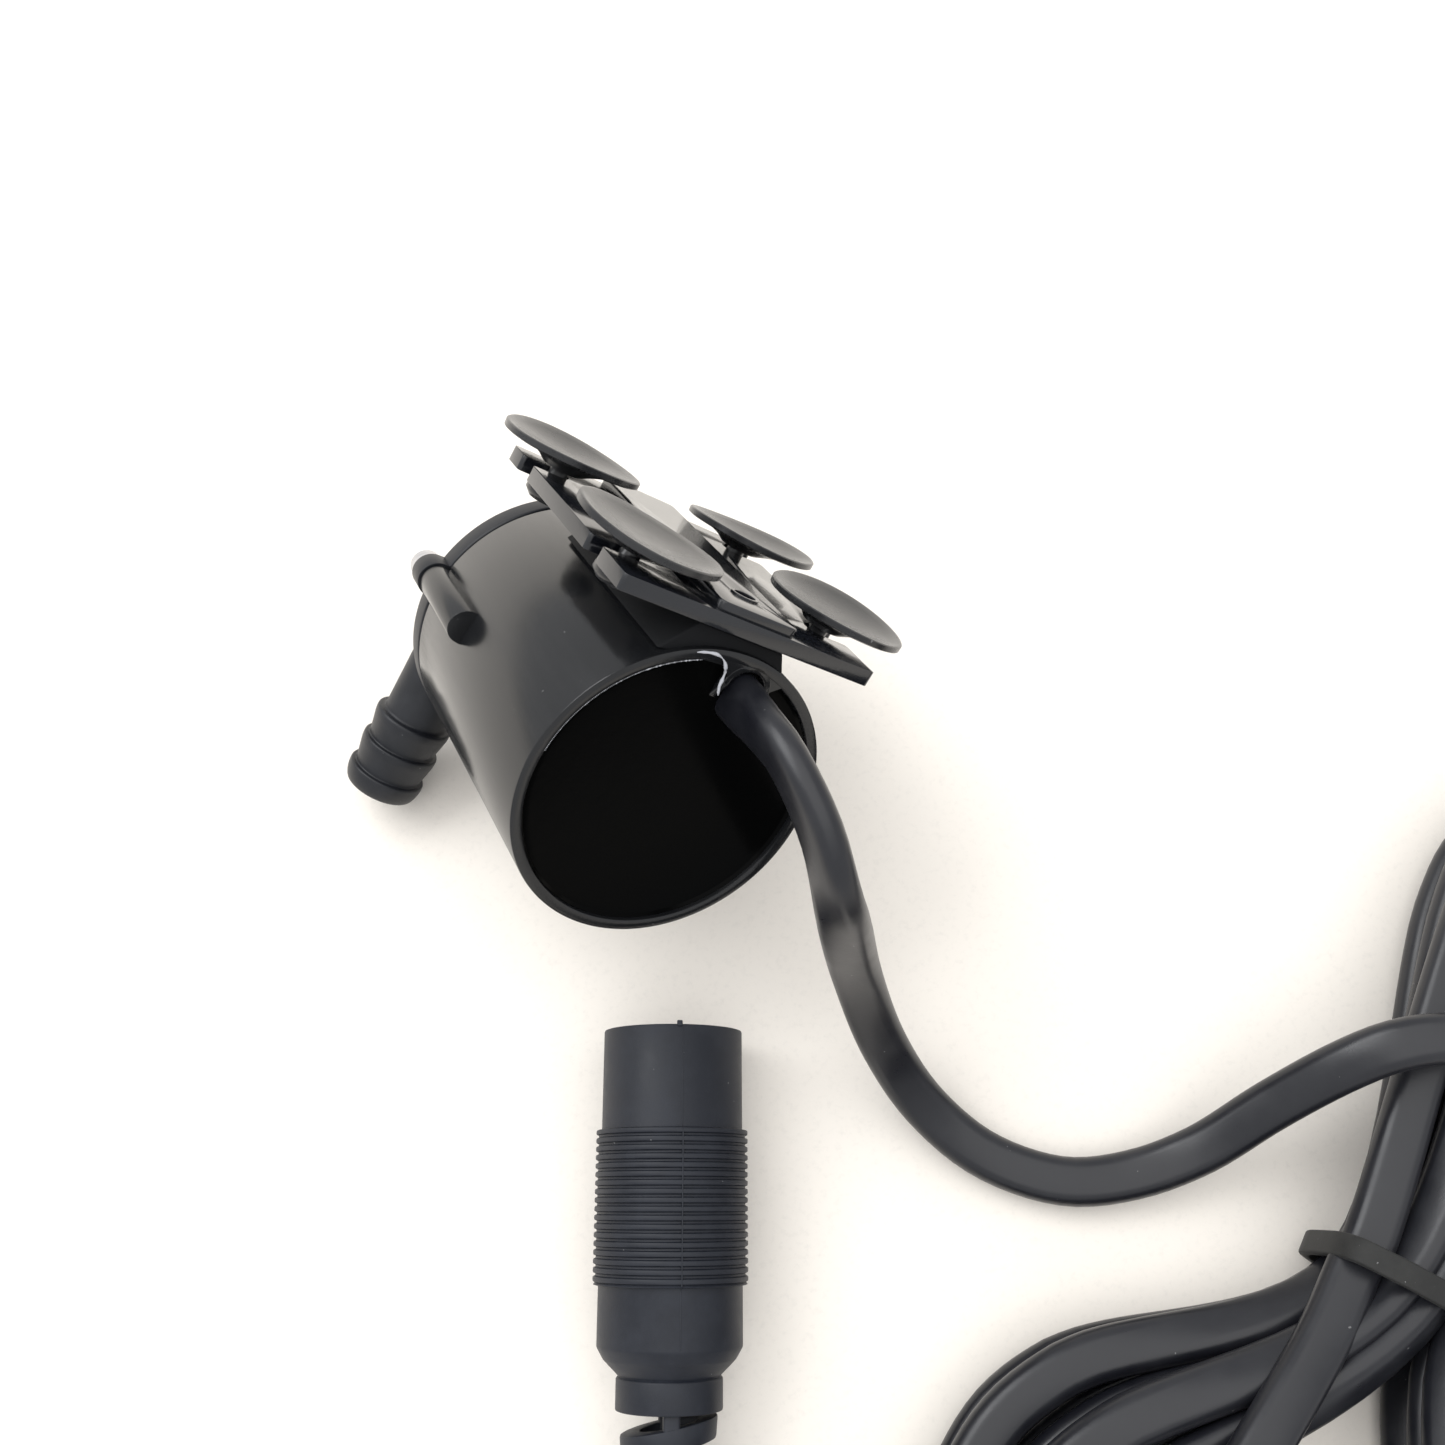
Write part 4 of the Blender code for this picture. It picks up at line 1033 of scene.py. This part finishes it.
@dataclass
class Housing:
    """Motor housing: can, well, bosses, cord collar and the plate's saddle.

    Attributes:
        well: radius of the rotor's well.
        well_wall: thickness of its wall.
        well_end: its closed end.
        collar_depth: depth of the cord collar from the rear rim.
    """

    well: float = 5.2
    well_wall: float = 0.9
    well_end: float = -11.0
    collar_depth: float = 4.2

    def can(self) -> Solid:
        """The round can with its front wall and the rotor's well.

        Returns:
            Solid: the can.
        """
        front, inner = -BODY_LENGTH, BODY_RADIUS - BODY_WALL
        sleeve = self.well + self.well_wall
        outline = [
            (self.well, front), (BODY_RADIUS, front), (BODY_RADIUS, 0), (inner, 0),
            (inner, front + 2), (sleeve, front + 2), (sleeve, self.well_end + 2.5),
            (0, self.well_end + 2.5), (0, self.well_end + 1.4), (1.9, self.well_end + 1.4),
            (1.9, self.well_end), (self.well, self.well_end),
        ]
        return turned(eased(outline, 0.18, 2), Axis.Y, 144)

    def collar(self) -> list[Solid]:
        """Oblong collar for the cord and the web that ties it to the rim.

        Returns:
            list[Solid]: the ring and the web.
        """
        radius = COLLAR_SLOT + COLLAR_WALL
        outer = stadium((COLLAR_X, COLLAR_Z), radius, COLLAR_SPREAD)
        slot = stadium((COLLAR_X, COLLAR_Z), COLLAR_SLOT, COLLAR_SPREAD)
        ring = prism(outer, -self.collar_depth, 0, Axis.Y, 0.15, [slot])
        for vert in ring.verts:
            vert.co.y -= 0.5 * max(0.0, vert.co.z - COLLAR_Z)
        reach = BODY_RADIUS - BODY_WALL / 2
        sides = [(COLLAR_X - 3.4, -13.6), (COLLAR_X - radius + 0.2, COLLAR_Z - 0.6)]
        sides += [(COLLAR_X + radius - 0.2, COLLAR_Z - 0.6), (COLLAR_X + 3.6, -13.4)]
        low = arc((0, 0), reach, math.radians(-72), math.radians(-101), 6)
        inside = arc((COLLAR_X, COLLAR_Z), COLLAR_SLOT + 0.3, 0, -math.pi, 10)
        web = prism(sides[:2] + inside[::-1] + sides[2:] + low, -self.collar_depth, -0.02, Axis.Y)
        return [ring, web]

    def saddle(self) -> list[Solid]:
        """Pad under the plate, with the rail that the plate slides on.

        Returns:
            list[Solid]: the pad, the rail's stem and its head.
        """
        half, front = SADDLE_WIDTH / 2, -24.1
        outline = [(-half - 2.6, -12.6), (-half, SADDLE_Z), (half, SADDLE_Z), (half + 1.6, -13.6)]
        pad = prism([(RAIL_X + a, b) for a, b in outline], front, -0.6, Axis.Y, 0.2)
        stem = box((RAIL_X - 1.7, front, -17.3), (RAIL_X + 1.7, -1.1, -15.8), 0.1)
        head = box((RAIL_X - 3.0, front, -17.85), (RAIL_X + 3.0, -1.1, -17.35), 0.1)
        return [pad, stem, head]

    def bead(self) -> list[Solid]:
        """Glue bead, thick by the collar, then a broken row of pale specks inside the rim. The bead
        is partly real glue and partly a painted highlight along the rim; the specks are painted
        glints.

        Returns:
            list[Solid]: the bead and the specks.
        """
        inner = BODY_RADIUS - BODY_WALL
        hook = [(-5.4, -13.65), (-4.7, -13.9), (-3.5, -14.1), (-2.5, -13.8), (-1.85, -13.1),
                (-1.6, -12.2), (-1.5, -11.4), (-1.1, -10.6)]
        path = smooth_path([Vector((a, -0.03, b)) for a, b in hook], 0.3)
        solids = [rope(path, 0.13, 8, waver=1.2)]
        # Pale specks along the inside of the rim: painted glints.
        for k in range(110):
            angle = math.radians(-109 - k * 0.62)
            rise = max(0.0, noise.noise(Vector((k * 0.71, 3.3, 1.7))))
            size = 0.045 + 0.13 * rise * (1 - k / 130)
            painted_glint = bmesh.new()
            bmesh.ops.create_icosphere(painted_glint, subdivisions=1, radius=size)
            spot = (inner * math.cos(angle), -0.06, inner * math.sin(angle))
            solids.append(moved(painted_glint, spot))
        return solids

    def build(self) -> None:
        """Makes the housing, its saddle in a painted-shade finish, its potting, and its glue bead,
        which is partly a painted highlight, with painted glints.
        """
        shell = [self.can(), *bosses(1.75, -BODY_LENGTH, -BODY_LENGTH + BOSS_LENGTH)]
        shell += self.collar()
        place_piece("housing_shell", shell, Body.PUMP.value, "housing_plastic",
                    ("motor_housing",), PUMP)
        # The saddle takes a darker, duller copy of the housing plastic: painted shade under the
        # plate.
        place_piece("plate_saddle", self.saddle(), Body.PUMP.value, "pad_plastic_painted_shade", (), PUMP)
        inner = BODY_RADIUS - BODY_WALL - 0.05
        edge = [(inner, -0.45), (inner - 0.25, -0.72), (inner - 0.9, -0.86), (0, -0.92)]
        pool = turned([(0, -3.3), (inner, -3.3), *edge], Axis.Y, 128)
        place_piece("potting_pool", [pool], Body.PUMP.value, "potting_epoxy",
                    ("rear_potting",), PUMP)
        # Pale bead and specks: the bead is partly real glue and partly a painted highlight on the
        # rim, and the specks are painted glints.
        place_piece("glue_bead_and_painted_glints", self.bead(), Body.PUMP.value, "glue_and_painted_highlight", (), PUMP, angle=80)


def rope(path: list[Vector], radius: float, sides: int, waver: float = 0.0) -> Solid:
    """A round tube along a path, its thickness wavering along the way.

    Args:
        path: points along its middle.
        radius: its radius.
        sides: points round it.
        waver: how far the thickness varies, as a share.

    Returns:
        Solid: the tube, closed at both ends.
    """
    bm = bmesh.new()
    rings = []
    for k, spot in enumerate(path):
        along = (path[min(k + 1, len(path) - 1)] - path[max(k - 1, 0)]).normalized()
        level = Vector((0, 0, 1)) if abs(along.z) < 0.9 else Vector((0, 1, 0))
        wide = along.cross(level).normalized()
        tall = along.cross(wide)
        size = radius * (1 + waver * noise.noise(spot * 1.3))
        size *= min(1.0, 0.35 + 0.4 * min(k, len(path) - 1 - k))
        rings.append([
            bm.verts.new(spot + (wide * math.cos(t) + tall * math.sin(t)) * size)
            for t in (FULL * i / sides for i in range(sides))
        ])
    for first, second in zip(rings, rings[1:]):
        for k in range(sides):
            after = (k + 1) % sides
            bm.faces.new((first[k], first[after], second[after], second[k]))
    bm.faces.new(rings[0][::-1])
    bm.faces.new(rings[-1])
    return bm


@dataclass
class Cover:
    """Flange, volute, barbed outlet and inlet ring.

    Attributes:
        rings: rings on the barb.
        wall: thickness of the volute.
        spokes: spokes of the inlet's spider.
    """

    rings: int = 3
    wall: float = 1.4
    spokes: int = 3

    def barb(self) -> Solid:
        """The outlet: rounded rings, a rounded nose and an open bore, clear of the impeller.

        Returns:
            Solid: the outlet.
        """
        start = OUTLET_REACH - 2.4 - (self.rings - 1) * BARB_PITCH
        side = [(STEM_RADIUS, 1.0), (STEM_RADIUS, start)]
        for ring in range(self.rings):
            shoulder = start + ring * BARB_PITCH
            side += [(BARB_RADIUS, shoulder), (BARB_RADIUS, shoulder + 0.8)]
            if ring < self.rings - 1:
                side.append((STEM_RADIUS + 0.2, shoulder + BARB_PITCH))
        side += [(0.96 * BARB_RADIUS, OUTLET_REACH - 0.7), (0.88 * BARB_RADIUS, OUTLET_REACH)]
        side += [(OUTLET_BORE, OUTLET_REACH), (OUTLET_BORE, 1.0)]
        tube = turned(eased(side, 0.34, 4), Axis.Z, 72)
        clear = VOLUTE_RADIUS - self.wall - 0.3
        for vert in tube.verts:
            across = abs(vert.co.x + OUTLET_X)
            if vert.co.z < 2 and across < clear:
                vert.co.z += max(0.0, math.sqrt(clear ** 2 - across ** 2) - 1.0)
        return moved(tube, (OUTLET_X, OUTLET_Y, 0))

    def build(self) -> None:
        """Makes the cover."""
        ring_y, cavity = VOLUTE_Y - 2.0, VOLUTE_RADIUS - self.wall
        outline = [
            (cavity, COVER_Y), (BODY_RADIUS, COVER_Y), (BODY_RADIUS, FLANGE_Y),
            (VOLUTE_RADIUS, FLANGE_Y), (VOLUTE_RADIUS, VOLUTE_Y), (INLET_RADIUS + 1, VOLUTE_Y),
            (INLET_RADIUS + 1, ring_y), (INLET_RADIUS, ring_y),
            (INLET_RADIUS, VOLUTE_Y + self.wall), (cavity, VOLUTE_Y + self.wall),
        ]
        solids = [turned(eased(outline, 0.3, 3), Axis.Y, 144), self.barb()]
        solids += bosses(1.9, FLANGE_Y, COVER_Y, 0.2)
        solids.append(turned([(0, VOLUTE_Y), (2.8, VOLUTE_Y), (2.8, VOLUTE_Y + 2.3),
                              (1.9, VOLUTE_Y + 2.3), (1.9, VOLUTE_Y + 0.9),
                              (0, VOLUTE_Y + 0.9)], Axis.Y, 48))
        for number in range(self.spokes):
            spoke = box((2.4, VOLUTE_Y + 0.1, -0.6), (INLET_RADIUS + 0.5, VOLUTE_Y + 1.3, 0.6), 0.1)
            solids.append(moved(spoke, turn=FULL * (number + 0.25) / self.spokes))
        place_piece("cover_shell", solids, Body.PUMP.value, "cover_plastic",
                    ("pump_cover",), PUMP)


# ---------------------------------------------------------------- plate and cups

def cup_places() -> Outline:
    """Works out the centre of each cup.

    Returns:
        Outline: front left, rear left, front right, rear right.
    """
    across, along = CUP_SPACING
    return [
        (RAIL_X + sx * across / 2, CUP_CENTRE_Y + sy * along / 2)
        for sx in (-1, 1) for sy in (-1, 1)
    ]


@dataclass
class Plate:
    """Glossy plate with four open slots, a centre band, small ribs and a pocket.

    Attributes:
        slot: half-width of a cup's slot.
        pocket: two corners of the pocket through the plate.
        eye: centre of the small hole in the band.
    """

    slot: float = 1.25
    pocket: tuple[Pair, Pair] = ((-7.7, -6.3), (-5.4, -3.5))
    eye: Pair = (-1.2, -4.0)

    def outline(self) -> Outline:
        """Works out the outer edge with the four cup slots.

        Returns:
            Outline: the edge.
        """
        left, right = RAIL_X - PLATE_WIDTH / 2, RAIL_X + PLATE_WIDTH / 2
        rear, front = PLATE_REAR_Y, PLATE_REAR_Y - PLATE_LENGTH
        places = cup_places()
        edge = [(right, rear), (left, rear)]
        for x, y in (places[1], places[0]):
            edge += [(left, y + self.slot), *arc((x, y), self.slot, math.pi / 2, -math.pi / 2, 10),
                     (left, y - self.slot)]
        edge += [(left, front), (right, front)]
        for x, y in (places[2], places[3]):
            edge += [(right, y - self.slot),
                     *arc((x, y), self.slot, -math.pi / 2, -3 * math.pi / 2, 10),
                     (right, y + self.slot)]
        return eased(edge, 0.42, 3)

    def build(self) -> None:
        """Makes the plate."""
        (low_x, low_y), (high_x, high_y) = self.pocket
        pocket = eased([(low_x, low_y), (high_x, low_y), (high_x, high_y), (low_x, high_y)], 0.3)
        eye = [(self.eye[0] + a, self.eye[1] + b) for a, b in ring_outline(0.68, 1.7, 32)]
        lip = [(self.eye[0] + a, self.eye[1] + b) for a, b in ring_outline(1.0, 1.5, 32)]
        front = PLATE_REAR_Y - PLATE_LENGTH
        half = BAND_WIDTH / 2
        band = [(RAIL_X - half, front + 0.4), (RAIL_X + half, front + 0.4),
                (RAIL_X + half, PLATE_REAR_Y - 0.4), (RAIL_X - half, PLATE_REAR_Y - 0.4)]
        solids = [
            prism(self.outline(), PLATE_OUTER_Z, PLATE_INNER_Z, Axis.Z, 0.14, [pocket, eye]),
            prism(eased(band, 0.8), BAND_Z, PLATE_OUTER_Z + 0.1, Axis.Z, 0.16, [eye]),
            prism(lip, BAND_Z - 0.14, BAND_Z + 0.2, Axis.Z, 0.06, [eye]),
        ]
        for shift in (0.0, 1.5):
            run = [(4.4 + shift, -19.8), (4.85 + shift, -19.8), (2.5 + shift, -6.5),
                   (2.05 + shift, -6.5)]
            solids.append(prism(run, PLATE_OUTER_Z - 0.3, PLATE_OUTER_Z + 0.2, Axis.Z, 0.08))
        place_piece("plate_face", solids, Body.PLATE.value, "plate_plastic",
                    ("suction_plate",), PUMP)


@dataclass
class Cup:
    """One soft suction cup; its disc leans away from its neck.

    Attributes:
        number: which cup it is, from 1.
        centre: middle of its slot on the plate.
        shift: how far the disc sits from the neck.
        tilt: how far the disc leans about two axes, in degrees.
    """

    number: int
    centre: Pair
    shift: Pair
    tilt: Pair

    def outline(self) -> Outline:
        """Works out the section from the head behind the plate to the dished face.

        Returns:
            Outline: (radius, height) pairs.
        """
        rim, lip = CUP_RADIUS, CUP_RADIUS - 0.35
        back = [
            (2.05 + (rim - 2.4) * k / 6, -0.42 - 1.22 * math.sin(math.pi / 2 * k / 6) ** 0.85)
            for k in range(7)
        ]
        dish = [
            (lip * k / 8, CUP_FACE_Z + 1.0 * (1 - (k / 8) ** 2.2)) for k in range(8, -1, -1)
        ]
        head = [(0, 3.0), (1.5, 3.0), (2.1, 2.4), (2.1, 1.8), (0.95, 1.8), (0.95, -0.3)]
        edge = [(rim, CUP_FACE_Z + 0.62), (rim + 0.02, CUP_FACE_Z + 0.1), (rim - 0.1, CUP_FACE_Z)]
        return head + back + edge + dish

    def build(self) -> None:
        """Makes the cup, leaning and slightly wavy at its rim."""
        bm = turned(self.outline(), Axis.Z, 96)
        lean = Matrix.Rotation(math.radians(self.tilt[0]), 3, "X")
        lean = Matrix.Rotation(math.radians(self.tilt[1]), 3, "Y") @ lean
        for vert in bm.verts:
            share = min(1.0, max(0.0, -vert.co.z / 1.4)) ** 0.8
            reach = math.hypot(vert.co.x, vert.co.y) / CUP_RADIUS
            angle = math.atan2(vert.co.y, vert.co.x)
            wave = 0.16 * math.sin(2 * angle + self.number * 1.7) * reach ** 3 * share
            leaning = vert.co.lerp(lean @ vert.co, share)
            offset = Vector((*self.shift, 0)) * share
            vert.co = leaning + offset + Vector((0, 0, wave))
        moved(bm, (*self.centre, PLATE_OUTER_Z))
        place_piece(f"cup_{self.number}_rubber", [bm], f"cup_{self.number}", "cup_rubber",
                    (f"suction_cup_{self.number}",), PUMP, 50)


# ---------------------------------------------------------------- connector and tie

@dataclass
class Connector:
    """In-line connector: sleeve, ribbed grip, taper and cut strain relief.

    Attributes:
        ribs: ribs on the grip.
        sleeve: radius of the smooth sleeve.
        grip: radius over the ribs.
        groove: depth between them.
        bore: radius of the open mouth.
        sleeve_end: where the front sleeve ends, from the mouth.
        grip_end: where the grip ends.
        rear_end: where the rear sleeve ends.
        collar_end: where the collar behind the taper ends.
        bands: slanted bands of the strain relief.
        relief_length: length of the strain relief.
        relief_taper: how much its radius shrinks.
    """

    ribs: int = 18
    sleeve: float = 7.15
    grip: float = 7.7
    groove: float = 0.27
    bore: float = 6.1
    sleeve_end: float = -9.9
    grip_end: float = -24.5
    rear_end: float = -30.1
    collar_end: float = -35.7
    bands: int = 5
    relief_length: float = 15.4
    relief_taper: float = 1.2

    def outline(self) -> Outline:
        """Works out the section of the moulding up to the strain relief's collar.

        Returns:
            Outline: (radius, height) pairs.
        """
        pitch = (self.sleeve_end - self.grip_end) / self.ribs
        side = [(self.bore, 0), (self.sleeve, 0), (self.sleeve, self.sleeve_end)]
        for rib in range(self.ribs):
            top, root = self.sleeve_end - rib * pitch, self.grip - self.groove
            side += [(self.grip, top - 0.03), (self.grip, top - 0.6 * pitch),
                     (root, top - 0.68 * pitch), (root, top - 0.95 * pitch)]
        side[-1] = (self.grip, self.grip_end)
        side += [
            (self.sleeve, self.grip_end), (self.sleeve, self.rear_end),
            (6.5, self.rear_end - 1.1), (4.95, self.rear_end - 2.6),
            (5.2, self.rear_end - 2.75), (5.2, self.collar_end), (2.8, self.collar_end),
            (2.8, -28.0), (self.bore, -28.0),
        ]
        return eased(side, 0.16, 2)

    def relief(self) -> list[Solid]:
        """Slanted bands of the strain relief and the ribs that join them.

        Returns:
            list[Solid]: the bands and two ribs.
        """
        pitch = self.relief_length / self.bands
        rear = self.collar_end - self.relief_length
        shrink = self.relief_taper / self.relief_length
        solids = []
        for band in range(self.bands):
            high = self.collar_end - 1.25 - band * pitch
            low = max(high - 2.0, rear + 0.95)
            radii = [4.8 - shrink * (self.collar_end - y) for y in (high, low)]
            ring = [(2.75, high), (radii[0], high), (radii[1], low), (2.75, low)]
            bm = turned(eased(ring, 0.22, 2), Axis.Y, 64)
            for vert in bm.verts:
                vert.co.y += 0.19 * vert.co.x
            solids.append(bm)
        for turn in (0.1, math.pi + 0.1):
            rib = box((-0.8, rear + 0.1, 2.8), (0.8, self.collar_end + 0.5, 4.7), 0.3)
            for vert in rib.verts:
                vert.co.z -= max(0.0, shrink * (self.collar_end - vert.co.y))
            solids.append(moved(rib, turn=turn))
        return solids

    def build(self) -> bpy.types.Object:
        """Makes the connector and its flash.

        Returns:
            bpy.types.Object: the piece.
        """
        solids = [turned(self.outline(), Axis.Y, 144), *self.relief()]
        for radius, rear, front in (
            (self.sleeve, self.sleeve_end + 0.1, -0.2),
            (self.grip, self.grip_end + 0.1, self.sleeve_end - 0.1),
            (self.sleeve, self.rear_end + 0.2, self.grip_end - 0.1),
        ):
            line = box((-0.06, rear, radius - 0.1), (0.06, front, radius + 0.03), 0.02)
            solids.append(moved(line, turn=math.radians(10)))
        nib = box((-0.28, -0.25, -0.1), (0.28, 0.35, 0.28), 0.12)
        solids.append(moved(nib, (0.9, 0, self.sleeve - 0.15)))
        place = Matrix.Translation((CONNECTOR_X, CONNECTOR_Y, CONNECTOR_Z))
        return place_piece("connector_body", solids, Body.PUMP.value, "connector_plastic",
                           ("connector_shell",), place)


@dataclass
class Strap:
    """Flat strap round the hank's waist.

    Attributes:
        half: half its width across the strands.
        low: its underside.
        high: its top.
        thick: thickness of the strap.
        squareness: power that squares its round outline.
    """

    half: float = 12.3
    low: float = 0.2
    high: float = 15.5
    thick: float = 0.95
    squareness: float = 0.42

    def loop(self, inset: float) -> Outline:
        """Rounded outline of the strap, a little bumpy over the strands.

        Args:
            inset: distance inside its outer face.

        Returns:
            Outline: points round it.
        """
        middle, rise = (self.low + self.high) / 2, (self.high - self.low) / 2 - inset
        points = []
        for k in range(72):
            turn = FULL * k / 72
            reach = self.half - inset
            a = math.copysign(abs(math.cos(turn)) ** self.squareness, math.cos(turn)) * reach
            b = math.copysign(abs(math.sin(turn)) ** self.squareness, math.sin(turn)) * rise
            bump = 0.35 * noise.noise(Vector((a * 0.35, b * 0.2, 4.0)))
            points.append((a, middle + b + bump * (1 if b > 0 else 0)))
        return points

    def build(self) -> bpy.types.Object:
        """Makes the strap.

        Returns:
            bpy.types.Object: the piece.
        """
        strap = prism(self.loop(0), -TIE_WIDTH / 2, TIE_WIDTH / 2, Axis.Y, 0.22,
                      [self.loop(self.thick)])
        axes = Matrix.Translation(HANK_WAIST) @ Matrix.Rotation(TIE_ANGLE, 4, "Z")
        return place_piece("hank_strap", [strap], Body.PUMP.value, "tie_rubber",
                           ("hank_tie",), axes, 50)


def finish_kept_nodes() -> None:
    """Gives each kept CAD node a finish from the table below."""
    kept = {
        "circuit_board": ("driver_board",), "chip_epoxy": ("driver_chip", "hall_sensor"),
        "stator_iron": ("stator_core",), "rotor_ferrite": ("rotor_magnet",),
        "impeller_plastic": ("impeller",), "cover_plastic": ("inlet_strainer",),
        "ceramic": ("rotor_shaft",), "bush_rubber": ("rear_bush", "front_bush", "cover_seal"),
        "screw_steel": ("cover_screw_1", "cover_screw_2"), "insert_plastic": ("socket_insert",),
        "contact_brass": ("contact_pin", "contact_sleeve"),
        "coil_copper": tuple(f"coil_{number}" for number in range(1, 5)),
    }
    for finish, names in kept.items():
        for name in names:
            materials = frame["nodes"][name].data.materials
            materials.clear()
            materials.append(SHELF.take(finish))
            LOG.info("%s: kept, %s", name, finish)


# ---------------------------------------------------------------- main

def main() -> None:
    """Makes everything, in the order camera, cords, shells, insides."""
    logging.basicConfig(level=logging.INFO, format="%(name)s: %(message)s")
    Studio().build()
    cord, path = FlatCord().build()
    Housing().build()
    Cover().build()
    Plate().build()
    for number, (centre, shift, tilt) in enumerate(zip(cup_places(), CUP_SHIFTS, CUP_TILTS), 1):
        Cup(number, centre, shift, tilt).build()
    connector = Connector().build()
    strap = Strap().build()
    finish_kept_nodes()


if __name__ == "__main__":
    main()
